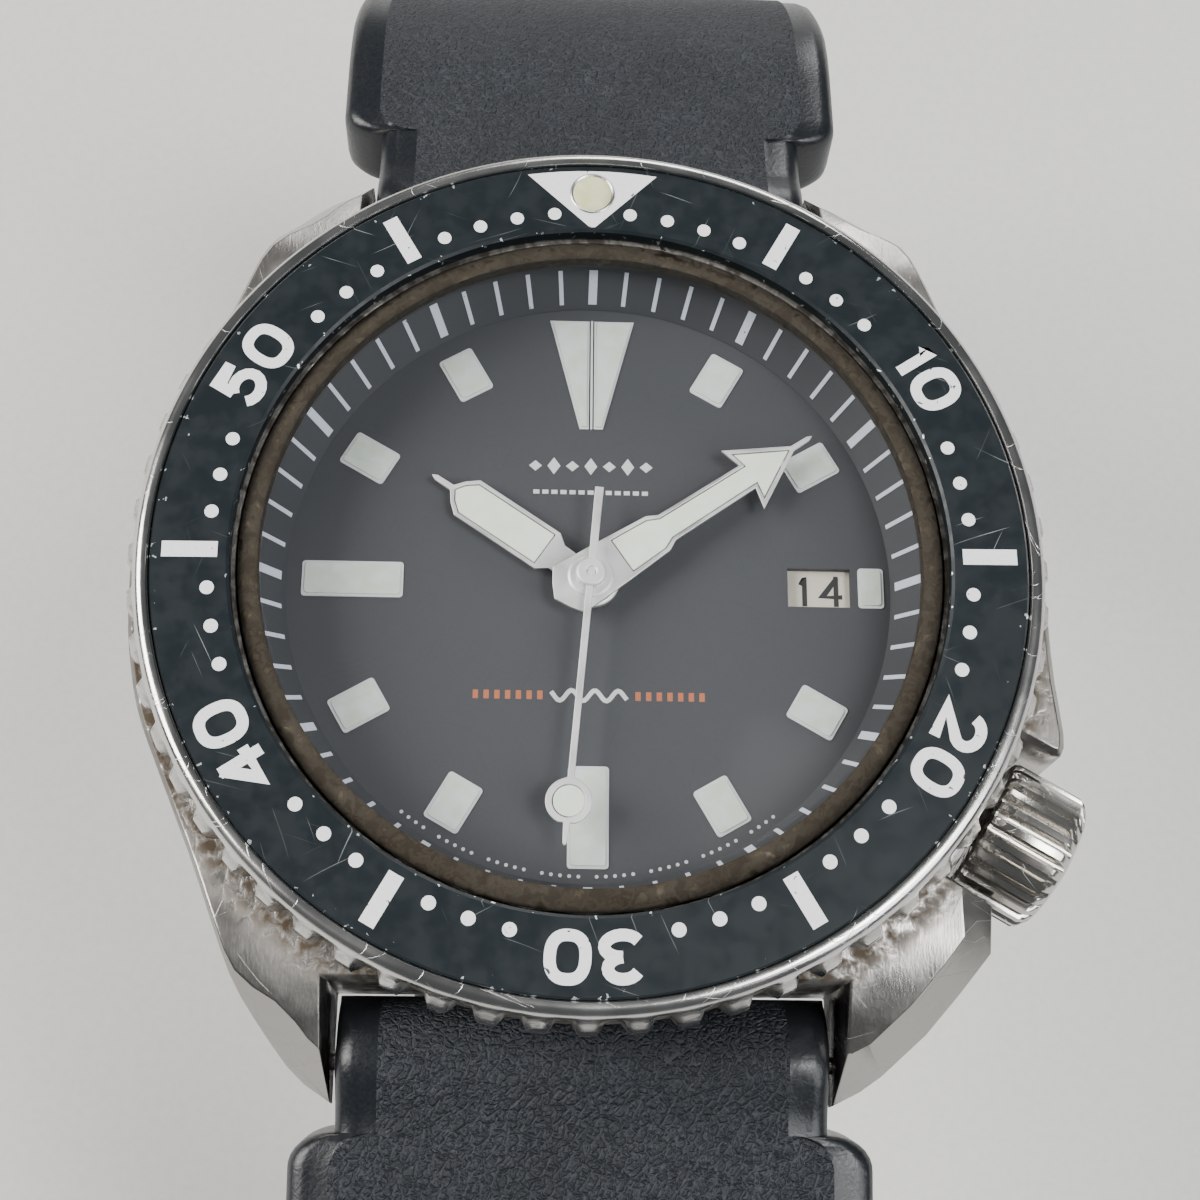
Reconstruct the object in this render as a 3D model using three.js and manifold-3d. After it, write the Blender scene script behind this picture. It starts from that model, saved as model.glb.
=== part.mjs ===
// A self-winding dive watch on a two-piece rubber strap, built as separate pieces.
// Millimetres. +Z points out of the dial, +Y to 12 o'clock, +X to 3 o'clock.
// The origin is the centre of the case back's flat outer face.
import * as THREE from "three";
import { mergeVertices } from "three/addons/utils/BufferGeometryUtils.js";
import Module from "manifold-3d";

const wasm = await Module();
wasm.setup();

// ---------------------------------------------------------------- driving dimensions
const GAP = 0.05; // clearance between pieces that rest on each other
const ROUND = 36; // segments in a large circle
const SMALL = 12; // segments in an arbor or pin

// Case
const LUG_WIDTH = 22.2;
const LUG_TIP_Y = 22.8;
// One flank as [x, y] corners, from its lug's tip to the middle of the case.
const FLANK = [
  [12.4, 22.0], [13.5, 20.6], [14.3, 19.5], [15.0, 18.4], [15.8, 16.3], [17.0, 13.2],
  [18.45, 9.9], [20.05, 6.35], [20.7, 3.0],
];
const CASE_BOTTOM = 1.6;
const DECK_Z = 8.7; // the flat that the bezel turns over
const NECK_R = 17.5; // the collar that the bezel snaps round
const NECK_TOP = 11.5;
const BACK_BORE_R = 16.6;
const MOVEMENT_BORE_R = 14.6;
const CRYSTAL_BORE_R = 15.6;
const CRYSTAL_SEAT_Z = 10.3;
const CRYSTAL_SHOULDER_Z = 11.2;
const CRYSTAL_R = 14.5;
const CRYSTAL_TOP = 12.2;

// Bezel
const BEZEL_R = 20.4;
const BEZEL_TEETH = 60;
const BEZEL_BOTTOM = 9.0;
const BEZEL_TOP = 12.5;
const INSERT_IN_R = 15.7;
const INSERT_OUT_R = 19.15;
const INSERT_Z = 11.7;
const INSERT_TOP = 12.4;
const PIP_R = 0.95;
const PIP_Y = 17.75;

// Dial side
const DIAL_R = 14.4;
const DIAL_BOTTOM = 7.85;
const DIAL_TOP = 8.2;
const DATE_X = 10.53;
const DATE_WIDE = 2.9;
const DATE_TALL = 1.85;
const HOUR_Z = 8.7;
const MINUTE_Z = 9.2;
const SECOND_Z = 9.75;
const HAND_THICK = 0.18;
const HOUR_ANGLE = 304; // degrees clockwise from 12
const MINUTE_ANGLE = 55.4;
const SECOND_ANGLE = 184.9;

// Movement
const PLATE_R = 13.6;
const PLATE_BOTTOM = 6.6;
const PLATE_TOP = 7.3;
const BRIDGE_BOTTOM = 4.45;
const BRIDGE_TOP = 4.85;
const ARBOR_R = 0.15;
const ROTOR_R = 12.9;

// Crown, at 4 o'clock
const CROWN_ANGLE = -30;
const STEM_Z = 5.5;
const CROWN_R = 3.3;
const CROWN_RIDGES = 40;
const CROWN_IN = 20.7; // distances from the middle of the watch
const CROWN_OUT = 24.6;

// Strap: distances along Y from the middle of the watch, the same on both sides
const BAR_Y = 21.0;
const BAR_Z = 3.3;
const BAR_R = 0.75;
const STRAP_NARROW = 21.6;
const STRAP_WIDE = 25.6;
const STRAP_TAIL = 20.0;
const SHOULDER_12 = 4.3; // path lengths from the spring bars to where the strap widens
const SHOULDER_6 = 2.9;
const EYE_R = 2.9; // the strap's rounded ends between the lugs
const STRAP_DROP = 8; // degrees below level where it leaves the lugs
const BAR_RUN = 8.6;
const BEND_R = 11;
const SIDE_SLOPE = 85; // degrees below level on the sides of the loop
const LOOP_R = 20;

// ---------------------------------------------------------------- helpers
const finishes = {
  steel: { color: 0xb8b6b0, roughness: 0.32, metalness: 1 },
  brass: { color: 0xc9a85a, roughness: 0.35, metalness: 1 },
  rubber: { color: 0x23262a, roughness: 0.7, metalness: 0 },
  insert: { color: 0x20282c, roughness: 0.45, metalness: 0.2 },
  dial: { color: 0x3b3e43, roughness: 0.6, metalness: 0 },
  glass: { color: 0xe8f2f2, roughness: 0.05, metalness: 0, transparent: true, opacity: 0.35 },
  lume: { color: 0xd9e4c8, roughness: 0.6, metalness: 0 },
  nylon: { color: 0xdedbd2, roughness: 0.6, metalness: 0 },
};
const materials = Object.fromEntries(
  Object.entries(finishes).map(([name, look]) => [name, new THREE.MeshStandardMaterial(look)]),
);
const watch = new THREE.Group();

/** A closed three.js geometry as a manifold solid. */
function solid(geometry) {
  const bare = geometry.index ? geometry.toNonIndexed() : geometry.clone();
  bare.deleteAttribute("normal");
  bare.deleteAttribute("uv");
  const merged = mergeVertices(bare, 1e-4);
  const triVerts = new Uint32Array(merged.index.array);
  const vertProperties = merged.attributes.position.array;
  const made = new wasm.Manifold(new wasm.Mesh({ numProp: 3, vertProperties, triVerts }));
  if (made.volume() > 0) return made;
  for (let i = 0; i < triVerts.length; i += 3) {
    [triVerts[i + 1], triVerts[i + 2]] = [triVerts[i + 2], triVerts[i + 1]];
  }
  return new wasm.Manifold(new wasm.Mesh({ numProp: 3, vertProperties, triVerts }));
}

/** The first solid with the others cut away. */
const cut = (body, ...tools) => tools.reduce((left, tool) => left.subtract(tool), body);

/** The solids joined into one. */
const join = (body, ...others) => others.reduce((sum, other) => sum.add(other), body);

/** Adds a named sub-part to the watch. */
function piece(name, body, finish) {
  const mesh = body.getMesh();
  const geometry = new THREE.BufferGeometry();
  geometry.setAttribute("position", new THREE.BufferAttribute(new Float32Array(mesh.vertProperties), 3));
  geometry.setIndex(new THREE.BufferAttribute(new Uint32Array(mesh.triVerts), 1));
  geometry.computeVertexNormals();
  const part = new THREE.Mesh(geometry, materials[finish]);
  part.name = name;
  watch.add(part);
}

/** A profile of [radius, z] points, closed on itself or ending on the axis, turned about Z. */
function turned(profile, segments = ROUND) {
  const onAxis = profile[0][0] === 0;
  const loop = onAxis ? profile : [...profile, profile[0]];
  const points = loop.map(([r, z]) => new THREE.Vector2(r, z));
  return solid(new THREE.LatheGeometry(points, segments).rotateX(Math.PI / 2));
}

/** A ring of rectangular section. */
const ring = (inner, outer, low, high, segments = ROUND) =>
  turned([[inner, low], [outer, low], [outer, high], [inner, high]], segments);

/** A round bar along Z with its axis at x, y. */
const bar = (radius, low, high, x = 0, y = 0, segments = SMALL) =>
  turned([[0, low], [radius, low], [radius, high], [0, high]], segments).translate([x, y, 0]);

/** A box between two corners. */
function block([x0, y0, z0], [x1, y1, z1]) {
  const box = new THREE.BoxGeometry(x1 - x0, y1 - y0, z1 - z0);
  return solid(box.translate((x0 + x1) / 2, (y0 + y1) / 2, (z0 + z1) / 2));
}

/** A flat outline of [x, y] points or a Shape, given thickness between two heights. */
function plate(outline, low, high, curveSegments = ROUND / 4) {
  const shape = Array.isArray(outline)
    ? new THREE.Shape(outline.map(([x, y]) => new THREE.Vector2(x, y)))
    : outline;
  const options = { depth: high - low, bevelEnabled: false, curveSegments };
  return solid(new THREE.ExtrudeGeometry(shape, options).translate(0, 0, low));
}

/** A [y, z] outline given thickness across X, from -half to +half. */
const sidePlate = (outline, half) => plate(outline, -half, half).rotate([90, 0, 90]);

const radians = THREE.MathUtils.degToRad;

/** x, y of a point at a radius and an angle in degrees, anticlockwise from +X. */
const polar = (radius, degrees) => {
  const turn = radians(degrees);
  return [radius * Math.cos(turn), radius * Math.sin(turn)];
};

/** Turns a solid built along +X so that it lies along the crown's axis at stem height. */
const alongCrown = (body) => body.rotate([0, 0, CROWN_ANGLE]).translate([0, 0, STEM_Z]);

/** A round bar along +X between two distances from the middle of the watch. */
const crosswise = (radius, from, to, segments = SMALL) =>
  bar(radius, from, to, 0, 0, segments).rotate([0, 90, 0]);

/** Mirrors an outline of [x, y] points in X, keeping its direction of travel. */
const mirrored = (points) => points.map(([x, y]) => [-x, y]).reverse();

// ---------------------------------------------------------------- case
const SLOT_Y = 17.9; // wall between the lugs that the strap's end faces
const CLEAR = 30; // past everything, for cuts that run out of the case
const POCKET_FLOOR = 19.9; // distance of the crown pocket's floor from the middle
const POCKET_HALF = 3.6;
const POCKET_DEEP = 8;
const BAR_TIP_R = 0.4; // tips of every spring bar

function caseBody() {
  const lugInner = LUG_WIDTH / 2;
  const tip = [lugInner, LUG_TIP_Y];
  // The crown guards swell out of the right flank on both sides of 4 o'clock.
  const upperGuard = [[21.0, 0.3], [21.05, -3.0], [21.15, -5.0], [21.35, -6.8], [21.2, -7.9]];
  const lowerGuard = [[18.2, -14.6], [17.9, -16.3], [16.6, -17.85], [15.1, -19.8], [13.3, -21.5]];
  const lowerTip = [lugInner, -LUG_TIP_Y];
  const right = [tip, ...FLANK, ...upperGuard, ...lowerGuard, lowerTip];
  const lowerFlank = FLANK.map(([x, y]) => [x, -y]).reverse();
  const left = mirrored([tip, ...FLANK, ...lowerFlank, lowerTip]);
  const outline = [...right, ...left];
  const blank = plate(outline, 0, DECK_Z + 1);

  // Seen from the side, the lugs fall away from the deck and their tips turn down.
  const topEdge = [[16.0, DECK_Z], [18.5, 7.7], [20.8, 6.2], [LUG_TIP_Y, 4.4]];
  const lugUnder = [[LUG_TIP_Y, 1.9], [22.0, 1.3], [19.5, 1.1]];
  const half = [...topEdge, ...lugUnder, [15.5, CASE_BOTTOM + 0.5], [14.5, CASE_BOTTOM]];
  const profile = [...half, ...mirrored(half)];
  const sides = sidePlate(profile, 30);

  const neck = bar(NECK_R, DECK_Z - 1, NECK_TOP, 0, 0, ROUND);
  const bore = turned([
    [0, -1], [BACK_BORE_R, -1], [BACK_BORE_R, 3.9], [MOVEMENT_BORE_R, 3.9], [MOVEMENT_BORE_R, 7.75],
    [CRYSTAL_BORE_R, 7.75], [CRYSTAL_BORE_R, NECK_TOP + 1], [0, NECK_TOP + 1],
  ]);
  const slots = [[SLOT_Y, CLEAR], [-CLEAR, -SLOT_Y]].map(([low, high]) =>
    block([-lugInner, low, -1], [lugInner, high, NECK_TOP + 0.5]),
  );
  const recess = alongCrown(
    block([POCKET_FLOOR, -POCKET_HALF, -POCKET_DEEP], [CLEAR, POCKET_HALF, POCKET_DEEP]),
  );
  const tubeHole = alongCrown(crosswise(1.1, 10, 22));
  const barHoles = [1, -1].map((side) =>
    bar(BAR_TIP_R + GAP, -13.2, 13.2, 0, 0, 8).rotate([0, 90, 0]).translate([0, side * BAR_Y, BAR_Z]),
  );
  const body = join(blank.intersect(sides), neck);
  return cut(body, bore, ...slots, recess, tubeHole, ...barHoles);
}
piece("case_body", caseBody(), "steel");

function caseBack() {
  const disc = turned([
    [0, 0], [13.0, 0], [15.4, 0.7], [16.2, 1.5], [16.2, 3.6], [15.2, 3.6], [15.2, 2.5], [0, 2.5],
  ]);
  const notches = Array.from({ length: 6 }, (_, i) =>
    block([14.2, -1.2, -1], [17, 1.2, 1.2]).rotate([0, 0, 30 + i * 60]),
  );
  return cut(disc, ...notches);
}
piece("case_back", caseBack(), "steel");
piece("case_back_gasket", ring(14.75, 15.1, 3.0, 3.6), "rubber");
piece("crown_tube", alongCrown(crosswise(1.05, 15.3, 21.2).subtract(crosswise(0.6, 15, 22))), "steel");

// ---------------------------------------------------------------- crystal and bezel
function crystal() {
  const foot = CRYSTAL_SEAT_Z + GAP;
  return turned([
    [0, foot], [15.1, foot], [15.1, CRYSTAL_SHOULDER_Z], [CRYSTAL_R, CRYSTAL_SHOULDER_Z],
    [CRYSTAL_R, CRYSTAL_TOP - 0.3], [CRYSTAL_R - 0.4, CRYSTAL_TOP], [0, CRYSTAL_TOP],
  ]);
}
piece("crystal", crystal(), "glass");
piece("crystal_gasket", ring(15.15, 15.55, CRYSTAL_SEAT_Z + GAP, CRYSTAL_SHOULDER_Z), "rubber");
piece("crystal_retainer", ring(CRYSTAL_R + 0.1, 15.5, CRYSTAL_SHOULDER_Z + GAP, INSERT_Z), "steel");

function bezelRing() {
  const blank = turned([
    [17.9, BEZEL_BOTTOM], [19.6, BEZEL_BOTTOM], [BEZEL_R, 9.4], [BEZEL_R, 11.6], [19.7, BEZEL_TOP],
    [INSERT_OUT_R + 0.1, BEZEL_TOP], [INSERT_OUT_R + 0.1, INSERT_Z - GAP], [17.9, INSERT_Z - GAP],
  ], BEZEL_TEETH);
  // A coin edge: one shallow notch per minute.
  const notch = 0.5;
  const grip = new THREE.Shape();
  for (let i = 0; i < BEZEL_TEETH; i++) {
    const pitch = 360 / BEZEL_TEETH;
    const outside = BEZEL_R + 0.1;
    const root = BEZEL_R - notch;
    const corners = [[outside, -0.32], [outside, 0.12], [root, 0.28], [root, 0.52]];
    for (const [radius, share] of corners) {
      const [x, y] = polar(radius, (i + share) * pitch);
      if (i === 0 && share < 0) grip.moveTo(x, y);
      else grip.lineTo(x, y);
    }
  }
  return blank.intersect(plate(grip, BEZEL_BOTTOM - 1, BEZEL_TOP + 1));
}
piece("bezel_ring", bezelRing(), "steel");
const pipHole = bar(PIP_R + GAP, INSERT_Z - 1, INSERT_TOP + 1, 0, PIP_Y, 16);
const insertBlank = ring(INSERT_IN_R, INSERT_OUT_R, INSERT_Z, INSERT_TOP, BEZEL_TEETH);
piece("bezel_insert", insertBlank.subtract(pipHole), "insert");
piece("bezel_lume_pip", bar(PIP_R, INSERT_Z, INSERT_TOP, 0, PIP_Y, 16), "lume");
piece("bezel_gasket", ring(NECK_R + GAP, 17.85, 10.0, 10.5), "rubber");
piece("bezel_click_spring", ring(18.2, 18.9, DECK_Z + GAP, DECK_Z + 0.2, 24), "steel");

// ---------------------------------------------------------------- dial and hands
const CHAPTER_FOOT = DIAL_TOP + GAP;
const CHAPTER_TOP = CRYSTAL_SEAT_Z - GAP;
const chapterProfile = [[13.8, CHAPTER_FOOT], [15.5, CHAPTER_FOOT], [15.5, CHAPTER_TOP], [15.2, CHAPTER_TOP]];
piece("chapter_ring", turned(chapterProfile, BEZEL_TEETH), "dial");

function dialPlate() {
  const disc = bar(DIAL_R, DIAL_BOTTOM, DIAL_TOP, 0, 0, BEZEL_TEETH);
  const centreHole = bar(1.15, 7, 9);
  const [halfWide, halfTall] = [DATE_WIDE / 2, DATE_TALL / 2];
  const dateWindow = block([DATE_X - halfWide, -halfTall, 7], [DATE_X + halfWide, halfTall, 9]);
  return cut(disc, centreHole, dateWindow);
}
piece("dial", dialPlate(), "dial");

/** A hand drawn pointing along +Y as half its outline, then turned clockwise to its angle. */
function hand(halfOutline, z, angle, pipes) {
  const outline = [...halfOutline, ...mirrored(halfOutline)].filter(
    ([x, y], i, all) => i === 0 || x !== all[i - 1][0] || y !== all[i - 1][1],
  );
  const blade = plate(outline, z, z + HAND_THICK);
  const disc = bar(pipes.outer + 0.4, z, z + HAND_THICK, 0, 0, 16);
  const tube = bar(pipes.outer, pipes.low, z + HAND_THICK, 0, 0, 16);
  const hole = pipes.inner ? [bar(pipes.inner, 0, 20)] : [];
  return cut(join(blade, disc, tube), ...hole).rotate([0, 0, -angle]);
}
const hourOutline = [[0.12, 8.8], [0.12, 7.7], [1.02, 6.8], [1.02, 2.4], [0.55, 1.9], [0.55, 0]];
const minuteOutline = [
  [0.1, 12.4], [0.1, 11.35], [1.72, 8.45], [0.62, 8.7], [0.7, 4.2],
  [0.95, 3.7], [1.13, 1.4], [1.3, -1.3], [0.05, -1.95],
];
const secondOutline = [
  [0.14, 12.4], [0.16, 11.4], [0.9, 11.0], [1.0, 10.5], [0.9, 10.0], [0.2, 9.5], [0.22, -4.1],
];
// Each hand's tube: its outer and inner radius, and its lower end.
const hourTube = { outer: 1.0, inner: 0.78, low: 8.4 };
const minuteTube = { outer: 0.7, inner: 0.5, low: 8.95 };
const secondTube = { outer: 0.4, inner: 0, low: 9.55 };
piece("hour_hand", hand(hourOutline, HOUR_Z, HOUR_ANGLE, hourTube), "steel");
piece("minute_hand", hand(minuteOutline, MINUTE_Z, MINUTE_ANGLE, minuteTube), "steel");
piece("seconds_hand", hand(secondOutline, SECOND_Z, SECOND_ANGLE, secondTube), "steel");

// ---------------------------------------------------------------- movement
/** Radii of a wheel and the pinion it drives, a little inside their pitch circles. */
function gearPair(distance, ratio) {
  const backlash = 0.03;
  return { wheel: (distance * ratio) / (ratio + 1) - backlash, pinion: distance / (ratio + 1) - backlash };
}

// Distances of the arbors from the centre of the watch, and their angles.
const BARREL_OFF = 4.55;
const THIRD_OFF = 4.275;
const ESCAPE_OFF = 4.4;
const MINUTE_WHEEL_OFF = 2.4;
const BARREL_AT = polar(BARREL_OFF, 200);
const THIRD_AT = polar(THIRD_OFF, 80);
const ESCAPE_AT = polar(ESCAPE_OFF, -40);
const MINUTE_WHEEL_AT = polar(MINUTE_WHEEL_OFF, 150);
const PALLET_AT = [5.8, -1.55];
const BALANCE_AT = [8.5, 1.3];

// The driver turns this many times slower than the pinion that it drives.
const barrelToCentre = gearPair(BARREL_OFF, 6);
const centreToThird = gearPair(THIRD_OFF, 8);
const thirdToFourth = gearPair(THIRD_OFF, 7.5);
const fourthToEscape = gearPair(ESCAPE_OFF, 9);
const cannonToMinute = gearPair(MINUTE_WHEEL_OFF, 3);
const minuteToHour = gearPair(MINUTE_WHEEL_OFF, 4);

// Winding work, on the back of the bridge
const RATCHET_R = 3.6;
const RATCHET_Z = 4.0;
const REDUCTION_PINION_R = 0.45;
const REDUCTION_AT = [BARREL_AT[0], BARREL_AT[1] - RATCHET_R - REDUCTION_PINION_R - 0.05];

/** Discs stacked on an arbor: each is [radius, low, high]. Gears are modelled to their pitch circles. */
function arbor([x, y], discs, low, high, hole = 0) {
  const shaft = bar(hole ? hole + 0.12 : ARBOR_R, low, high, x, y, SMALL);
  const wheels = discs.map(([radius, from, to]) => bar(radius, from, to, x, y, radius > 1 ? 24 : SMALL));
  const solidArbor = join(shaft, ...wheels);
  return hole ? solidArbor.subtract(bar(hole, 0, 20, x, y, SMALL)) : solidArbor;
}

function mainPlate() {
  const disc = bar(PLATE_R, PLATE_BOTTOM, PLATE_TOP, 0, 0, ROUND);
  const arbors = [BARREL_AT, THIRD_AT, ESCAPE_AT, PALLET_AT, BALANCE_AT];
  const pivots = arbors.map(([x, y]) => bar(0.25, 6, 7.15, x, y, 8));
  return cut(disc, bar(0.6, 6, 8), ...pivots);
}
piece("main_plate", mainPlate(), "brass");

function trainBridge() {
  const outline = new THREE.Shape();
  outline.absarc(0, 0, 12.8, radians(75), radians(300), false);
  outline.lineTo(4.6, -5.2);
  outline.lineTo(5.2, -2.6);
  outline.lineTo(2.6, 4.2);
  const bridge = plate(outline, BRIDGE_BOTTOM, BRIDGE_TOP, 24);
  const pillarTop = PLATE_BOTTOM - GAP;
  const pillars = [100, 150, 250].map((degrees) => bar(0.8, BRIDGE_BOTTOM, pillarTop, ...polar(11.4, degrees)));
  const rotorPost = bar(0.8, 3.3, BRIDGE_TOP);
  const pivots = [THIRD_AT, ESCAPE_AT, [0, 0]].map(([x, y]) => bar(0.25, 4.6, 6, x, y, 8));
  const through = [BARREL_AT, REDUCTION_AT].map(([x, y]) => bar(0.3, 4, 6, x, y, 8));
  return cut(join(bridge, ...pillars, rotorPost), ...pivots, ...through);
}
piece("train_bridge", trainBridge(), "brass");

function balanceCock() {
  const [x, y] = BALANCE_AT;
  const outline = [[x - 0.9, y - 0.9], [x + 0.9, y - 0.9], [x + 1.4, y + 7.2], [x - 2.6, y + 8.2]];
  const arm = plate(outline, BRIDGE_BOTTOM, BRIDGE_TOP);
  const foot = bar(0.9, BRIDGE_BOTTOM, PLATE_BOTTOM - GAP, x - 0.8, y + 6.6);
  return cut(join(arm, foot), bar(0.25, 4.6, 6, x, y, 8));
}
piece("balance_cock", balanceCock(), "brass");
piece("movement_ring", cut(
  ring(13.7, 14.5, 4.6, 7.8),
  alongCrown(crosswise(1.3, 10, 22)),
), "nylon");

const ARBOR_LOW = 4.65; // lower end of the train's arbors, in the bridge
const ARBOR_HIGH = 7.1; // their upper end, in the main plate
const ESCAPE_R = 2.05;
const CENTRE_PIPE = 0.3; // bore of the centre wheel's pipe, which the seconds arbor runs through
const centreDiscs = [
  [barrelToCentre.pinion, 5.95, 6.35],
  [centreToThird.wheel, 5.65, 5.8],
  [cannonToMinute.pinion, 7.38, 7.5],
];
piece("mainspring_barrel", arbor(BARREL_AT, [[barrelToCentre.wheel, 5.95, 6.4]], 4.9, 7.1), "brass");
piece("center_wheel", arbor([0, 0], centreDiscs, 5.55, 9.3, CENTRE_PIPE), "brass");
const thirdDiscs = [[thirdToFourth.wheel, 5.3, 5.45], [centreToThird.pinion, 5.55, 5.9]];
const fourthDiscs = [[fourthToEscape.wheel, 5.0, 5.15], [thirdToFourth.pinion, 5.2, 5.5]];
const escapeDiscs = [[ESCAPE_R, 5.3, 5.42], [fourthToEscape.pinion, 4.95, 5.2]];
piece("third_wheel", arbor(THIRD_AT, thirdDiscs, ARBOR_LOW, ARBOR_HIGH), "brass");
piece("fourth_wheel", arbor([0, 0], fourthDiscs, ARBOR_LOW, 9.5), "brass");
piece("escape_wheel", arbor(ESCAPE_AT, escapeDiscs, ARBOR_LOW, ARBOR_HIGH), "steel");
const ratchetDisc = [RATCHET_R, RATCHET_Z, RATCHET_Z + 0.3];
piece("ratchet_wheel", arbor(BARREL_AT, [ratchetDisc], RATCHET_Z, BRIDGE_TOP), "steel");
piece("reduction_wheel", arbor(
  REDUCTION_AT,
  [[1.6, 3.7, 3.95], [REDUCTION_PINION_R, 3.9, RATCHET_Z + 0.3]],
  3.7, 4.85,
), "brass");

/** The two-armed lever that turns the rotor's swings into winding. */
function pawlLever() {
  const low = 3.7;
  const high = 3.95;
  const eye = ring(1.0, 1.5, low, high, 16);
  const bridge = block([1.2, -1.95, low], [1.7, 1.95, high]);
  const arms = [1.65, -1.95].map((near) => block([1.2, near, low], [7.0, near + 0.3, high]));
  const direction = THREE.MathUtils.radToDeg(Math.atan2(REDUCTION_AT[1], REDUCTION_AT[0]));
  return join(eye, bridge, ...arms).rotate([0, 0, direction]);
}
piece("pawl_lever", pawlLever(), "steel");

function palletFork() {
  const [x, y] = PALLET_AT;
  const lever = block([-0.18, -0.2, 5.5], [0.18, 2.6, 5.62]);
  const arms = block([-1.5, -0.2, 5.5], [1.5, 0.2, 5.62]);
  const towardsBalance = THREE.MathUtils.radToDeg(Math.atan2(BALANCE_AT[1] - y, BALANCE_AT[0] - x)) - 90;
  return join(lever, arms, bar(ARBOR_R, 4.95, 7.1)).rotate([0, 0, towardsBalance]).translate([x, y, 0]);
}
piece("pallet_fork", palletFork(), "steel");

function balanceWheel() {
  const [x, y] = BALANCE_AT;
  const rim = ring(3.3, 3.9, 5.85, 6.15, 28);
  const arms = [0, 90].map((turn) => block([-3.5, -0.25, 5.9], [3.5, 0.25, 6.1]).rotate([0, 0, turn]));
  return join(rim, ...arms, bar(ARBOR_R, 4.65, 7.1)).translate([x, y, 0]);
}
piece("balance_wheel", balanceWheel(), "brass");
piece("hairspring", ring(0.35, 1.9, 5.2, 5.35, 20).translate([...BALANCE_AT, 0]), "steel");
const HOUR_BORE = 0.6;
const HOUR_WHEEL_Z = 7.56;
const minuteDiscs = [[cannonToMinute.wheel, 7.38, 7.5], [minuteToHour.pinion, 7.5, 7.7]];
piece("minute_wheel", arbor(MINUTE_WHEEL_AT, minuteDiscs, 7.35, 7.75), "brass");
const hourDisc = ring(HOUR_BORE, minuteToHour.wheel, HOUR_WHEEL_Z, 7.7, 24);
const hourPipe = ring(HOUR_BORE, 0.75, HOUR_WHEEL_Z, 8.85, 16);
piece("hour_wheel", join(hourDisc, hourPipe), "brass");
piece("date_ring", ring(8.6, 13.2, 7.45, 7.7, 24), "nylon");

function rotor() {
  const half = new THREE.Shape();
  half.absarc(0, 0, ROTOR_R, radians(-165), radians(-15), false);
  half.absarc(0, 0, 1.6, 0, Math.PI, false);
  const web = plate(half, 3.3, 3.6, 16);
  const rimShape = new THREE.Shape();
  rimShape.absarc(0, 0, ROTOR_R, radians(-165), radians(-15), false);
  rimShape.absarc(0, 0, ROTOR_R - 2.3, radians(-15), radians(-165), true);
  const rim = plate(rimShape, 3.3, 4.3, 16);
  return cut(join(web, rim, bar(1.6, 2.8, 3.6, 0, 0, 16)), bar(0.85, 2, 6, 0, 0, 16));
}
piece("rotor", rotor(), "steel");
piece("rotor_screw", join(bar(1.3, 2.56, 2.76, 0, 0, 16), bar(0.75, 2.56, 3.25)), "steel");

// ---------------------------------------------------------------- crown and stem
function crown() {
  const ridges = new THREE.Shape();
  for (let i = 0; i < CROWN_RIDGES; i++) {
    const pitch = 360 / CROWN_RIDGES;
    const [x, y] = polar(CROWN_R, i * pitch);
    const [rootX, rootY] = polar(CROWN_R - 0.22, (i + 0.5) * pitch);
    if (i === 0) ridges.moveTo(x, y);
    else ridges.lineTo(x, y);
    ridges.lineTo(rootX, rootY);
  }
  const knurl = plate(ridges, CROWN_IN, CROWN_OUT).rotate([0, 90, 0]);
  const rim = CROWN_OUT - 0.1;
  const capProfile = [[0, rim], [2.7, rim], [2.3, rim + 0.4], [0, rim + 0.6]];
  const cap = turned(capProfile, 20).rotate([0, 90, 0]);
  const socket = crosswise(1.6, CROWN_IN - 1, CROWN_IN + 1.6, 16);
  const post = crosswise(0.5, CROWN_IN + 0.2, CROWN_OUT);
  return alongCrown(join(cut(join(knurl, cap), socket), post));
}
piece("crown", crown(), "steel");
const sealBlank = crosswise(1.5, 21.3, 21.8, 16);
piece("crown_gasket", alongCrown(sealBlank.subtract(crosswise(0.6, 21, 22))), "rubber");
piece("winding_stem", alongCrown(crosswise(0.45, 8.2, CROWN_IN + 0.15)), "steel");
const pinionBlank = crosswise(0.95, 9.2, 10.6, 16);
piece("sliding_pinion", alongCrown(pinionBlank.subtract(crosswise(0.5, 9, 11))), "steel");

// ---------------------------------------------------------------- strap
/** A half strap's centre line: straight off the bar, down, round and in. Points are {y, z, slope, at}. */
function strapPath(shoulder, sideRun, endSlope, lastRun) {
  const path = [];
  let y = BAR_Y;
  let z = BAR_Z;
  let slope = STRAP_DROP;
  let at = 0;
  const stop = () => path.push({ y, z, slope, at });
  const advance = (length, turn, steps) => {
    for (let i = 0; i < steps; i++) {
      slope += turn / steps / 2;
      y += (length / steps) * Math.cos(radians(slope));
      z -= (length / steps) * Math.sin(radians(slope));
      slope += turn / steps / 2;
      at += length / steps;
      stop();
    }
  };
  const arc = (radius, to, steps) => advance(radius * radians(to - slope), to - slope, steps);
  stop();
  for (const run of [shoulder, 0.4, 0.8]) advance(run, 0, 1);
  advance(BAR_RUN - at, 0, 1);
  arc(BEND_R, SIDE_SLOPE, 8);
  advance(sideRun, 0, 2);
  arc(LOOP_R, endSlope, 9);
  if (lastRun) advance(lastRun, 0, 3);
  path.forEach((point) => Object.assign(point, { width: strapWidth(point.at, shoulder, at) }));
  return path;
}

/** Width of the strap at a distance along it. */
function strapWidth(at, shoulder, total) {
  if (at <= shoulder) return STRAP_NARROW;
  if (at <= shoulder + 0.5) return STRAP_NARROW + 2.9;
  return THREE.MathUtils.lerp(STRAP_WIDE, STRAP_TAIL, Math.max(0, (at - 12) / (total - 12)));
}

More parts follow.
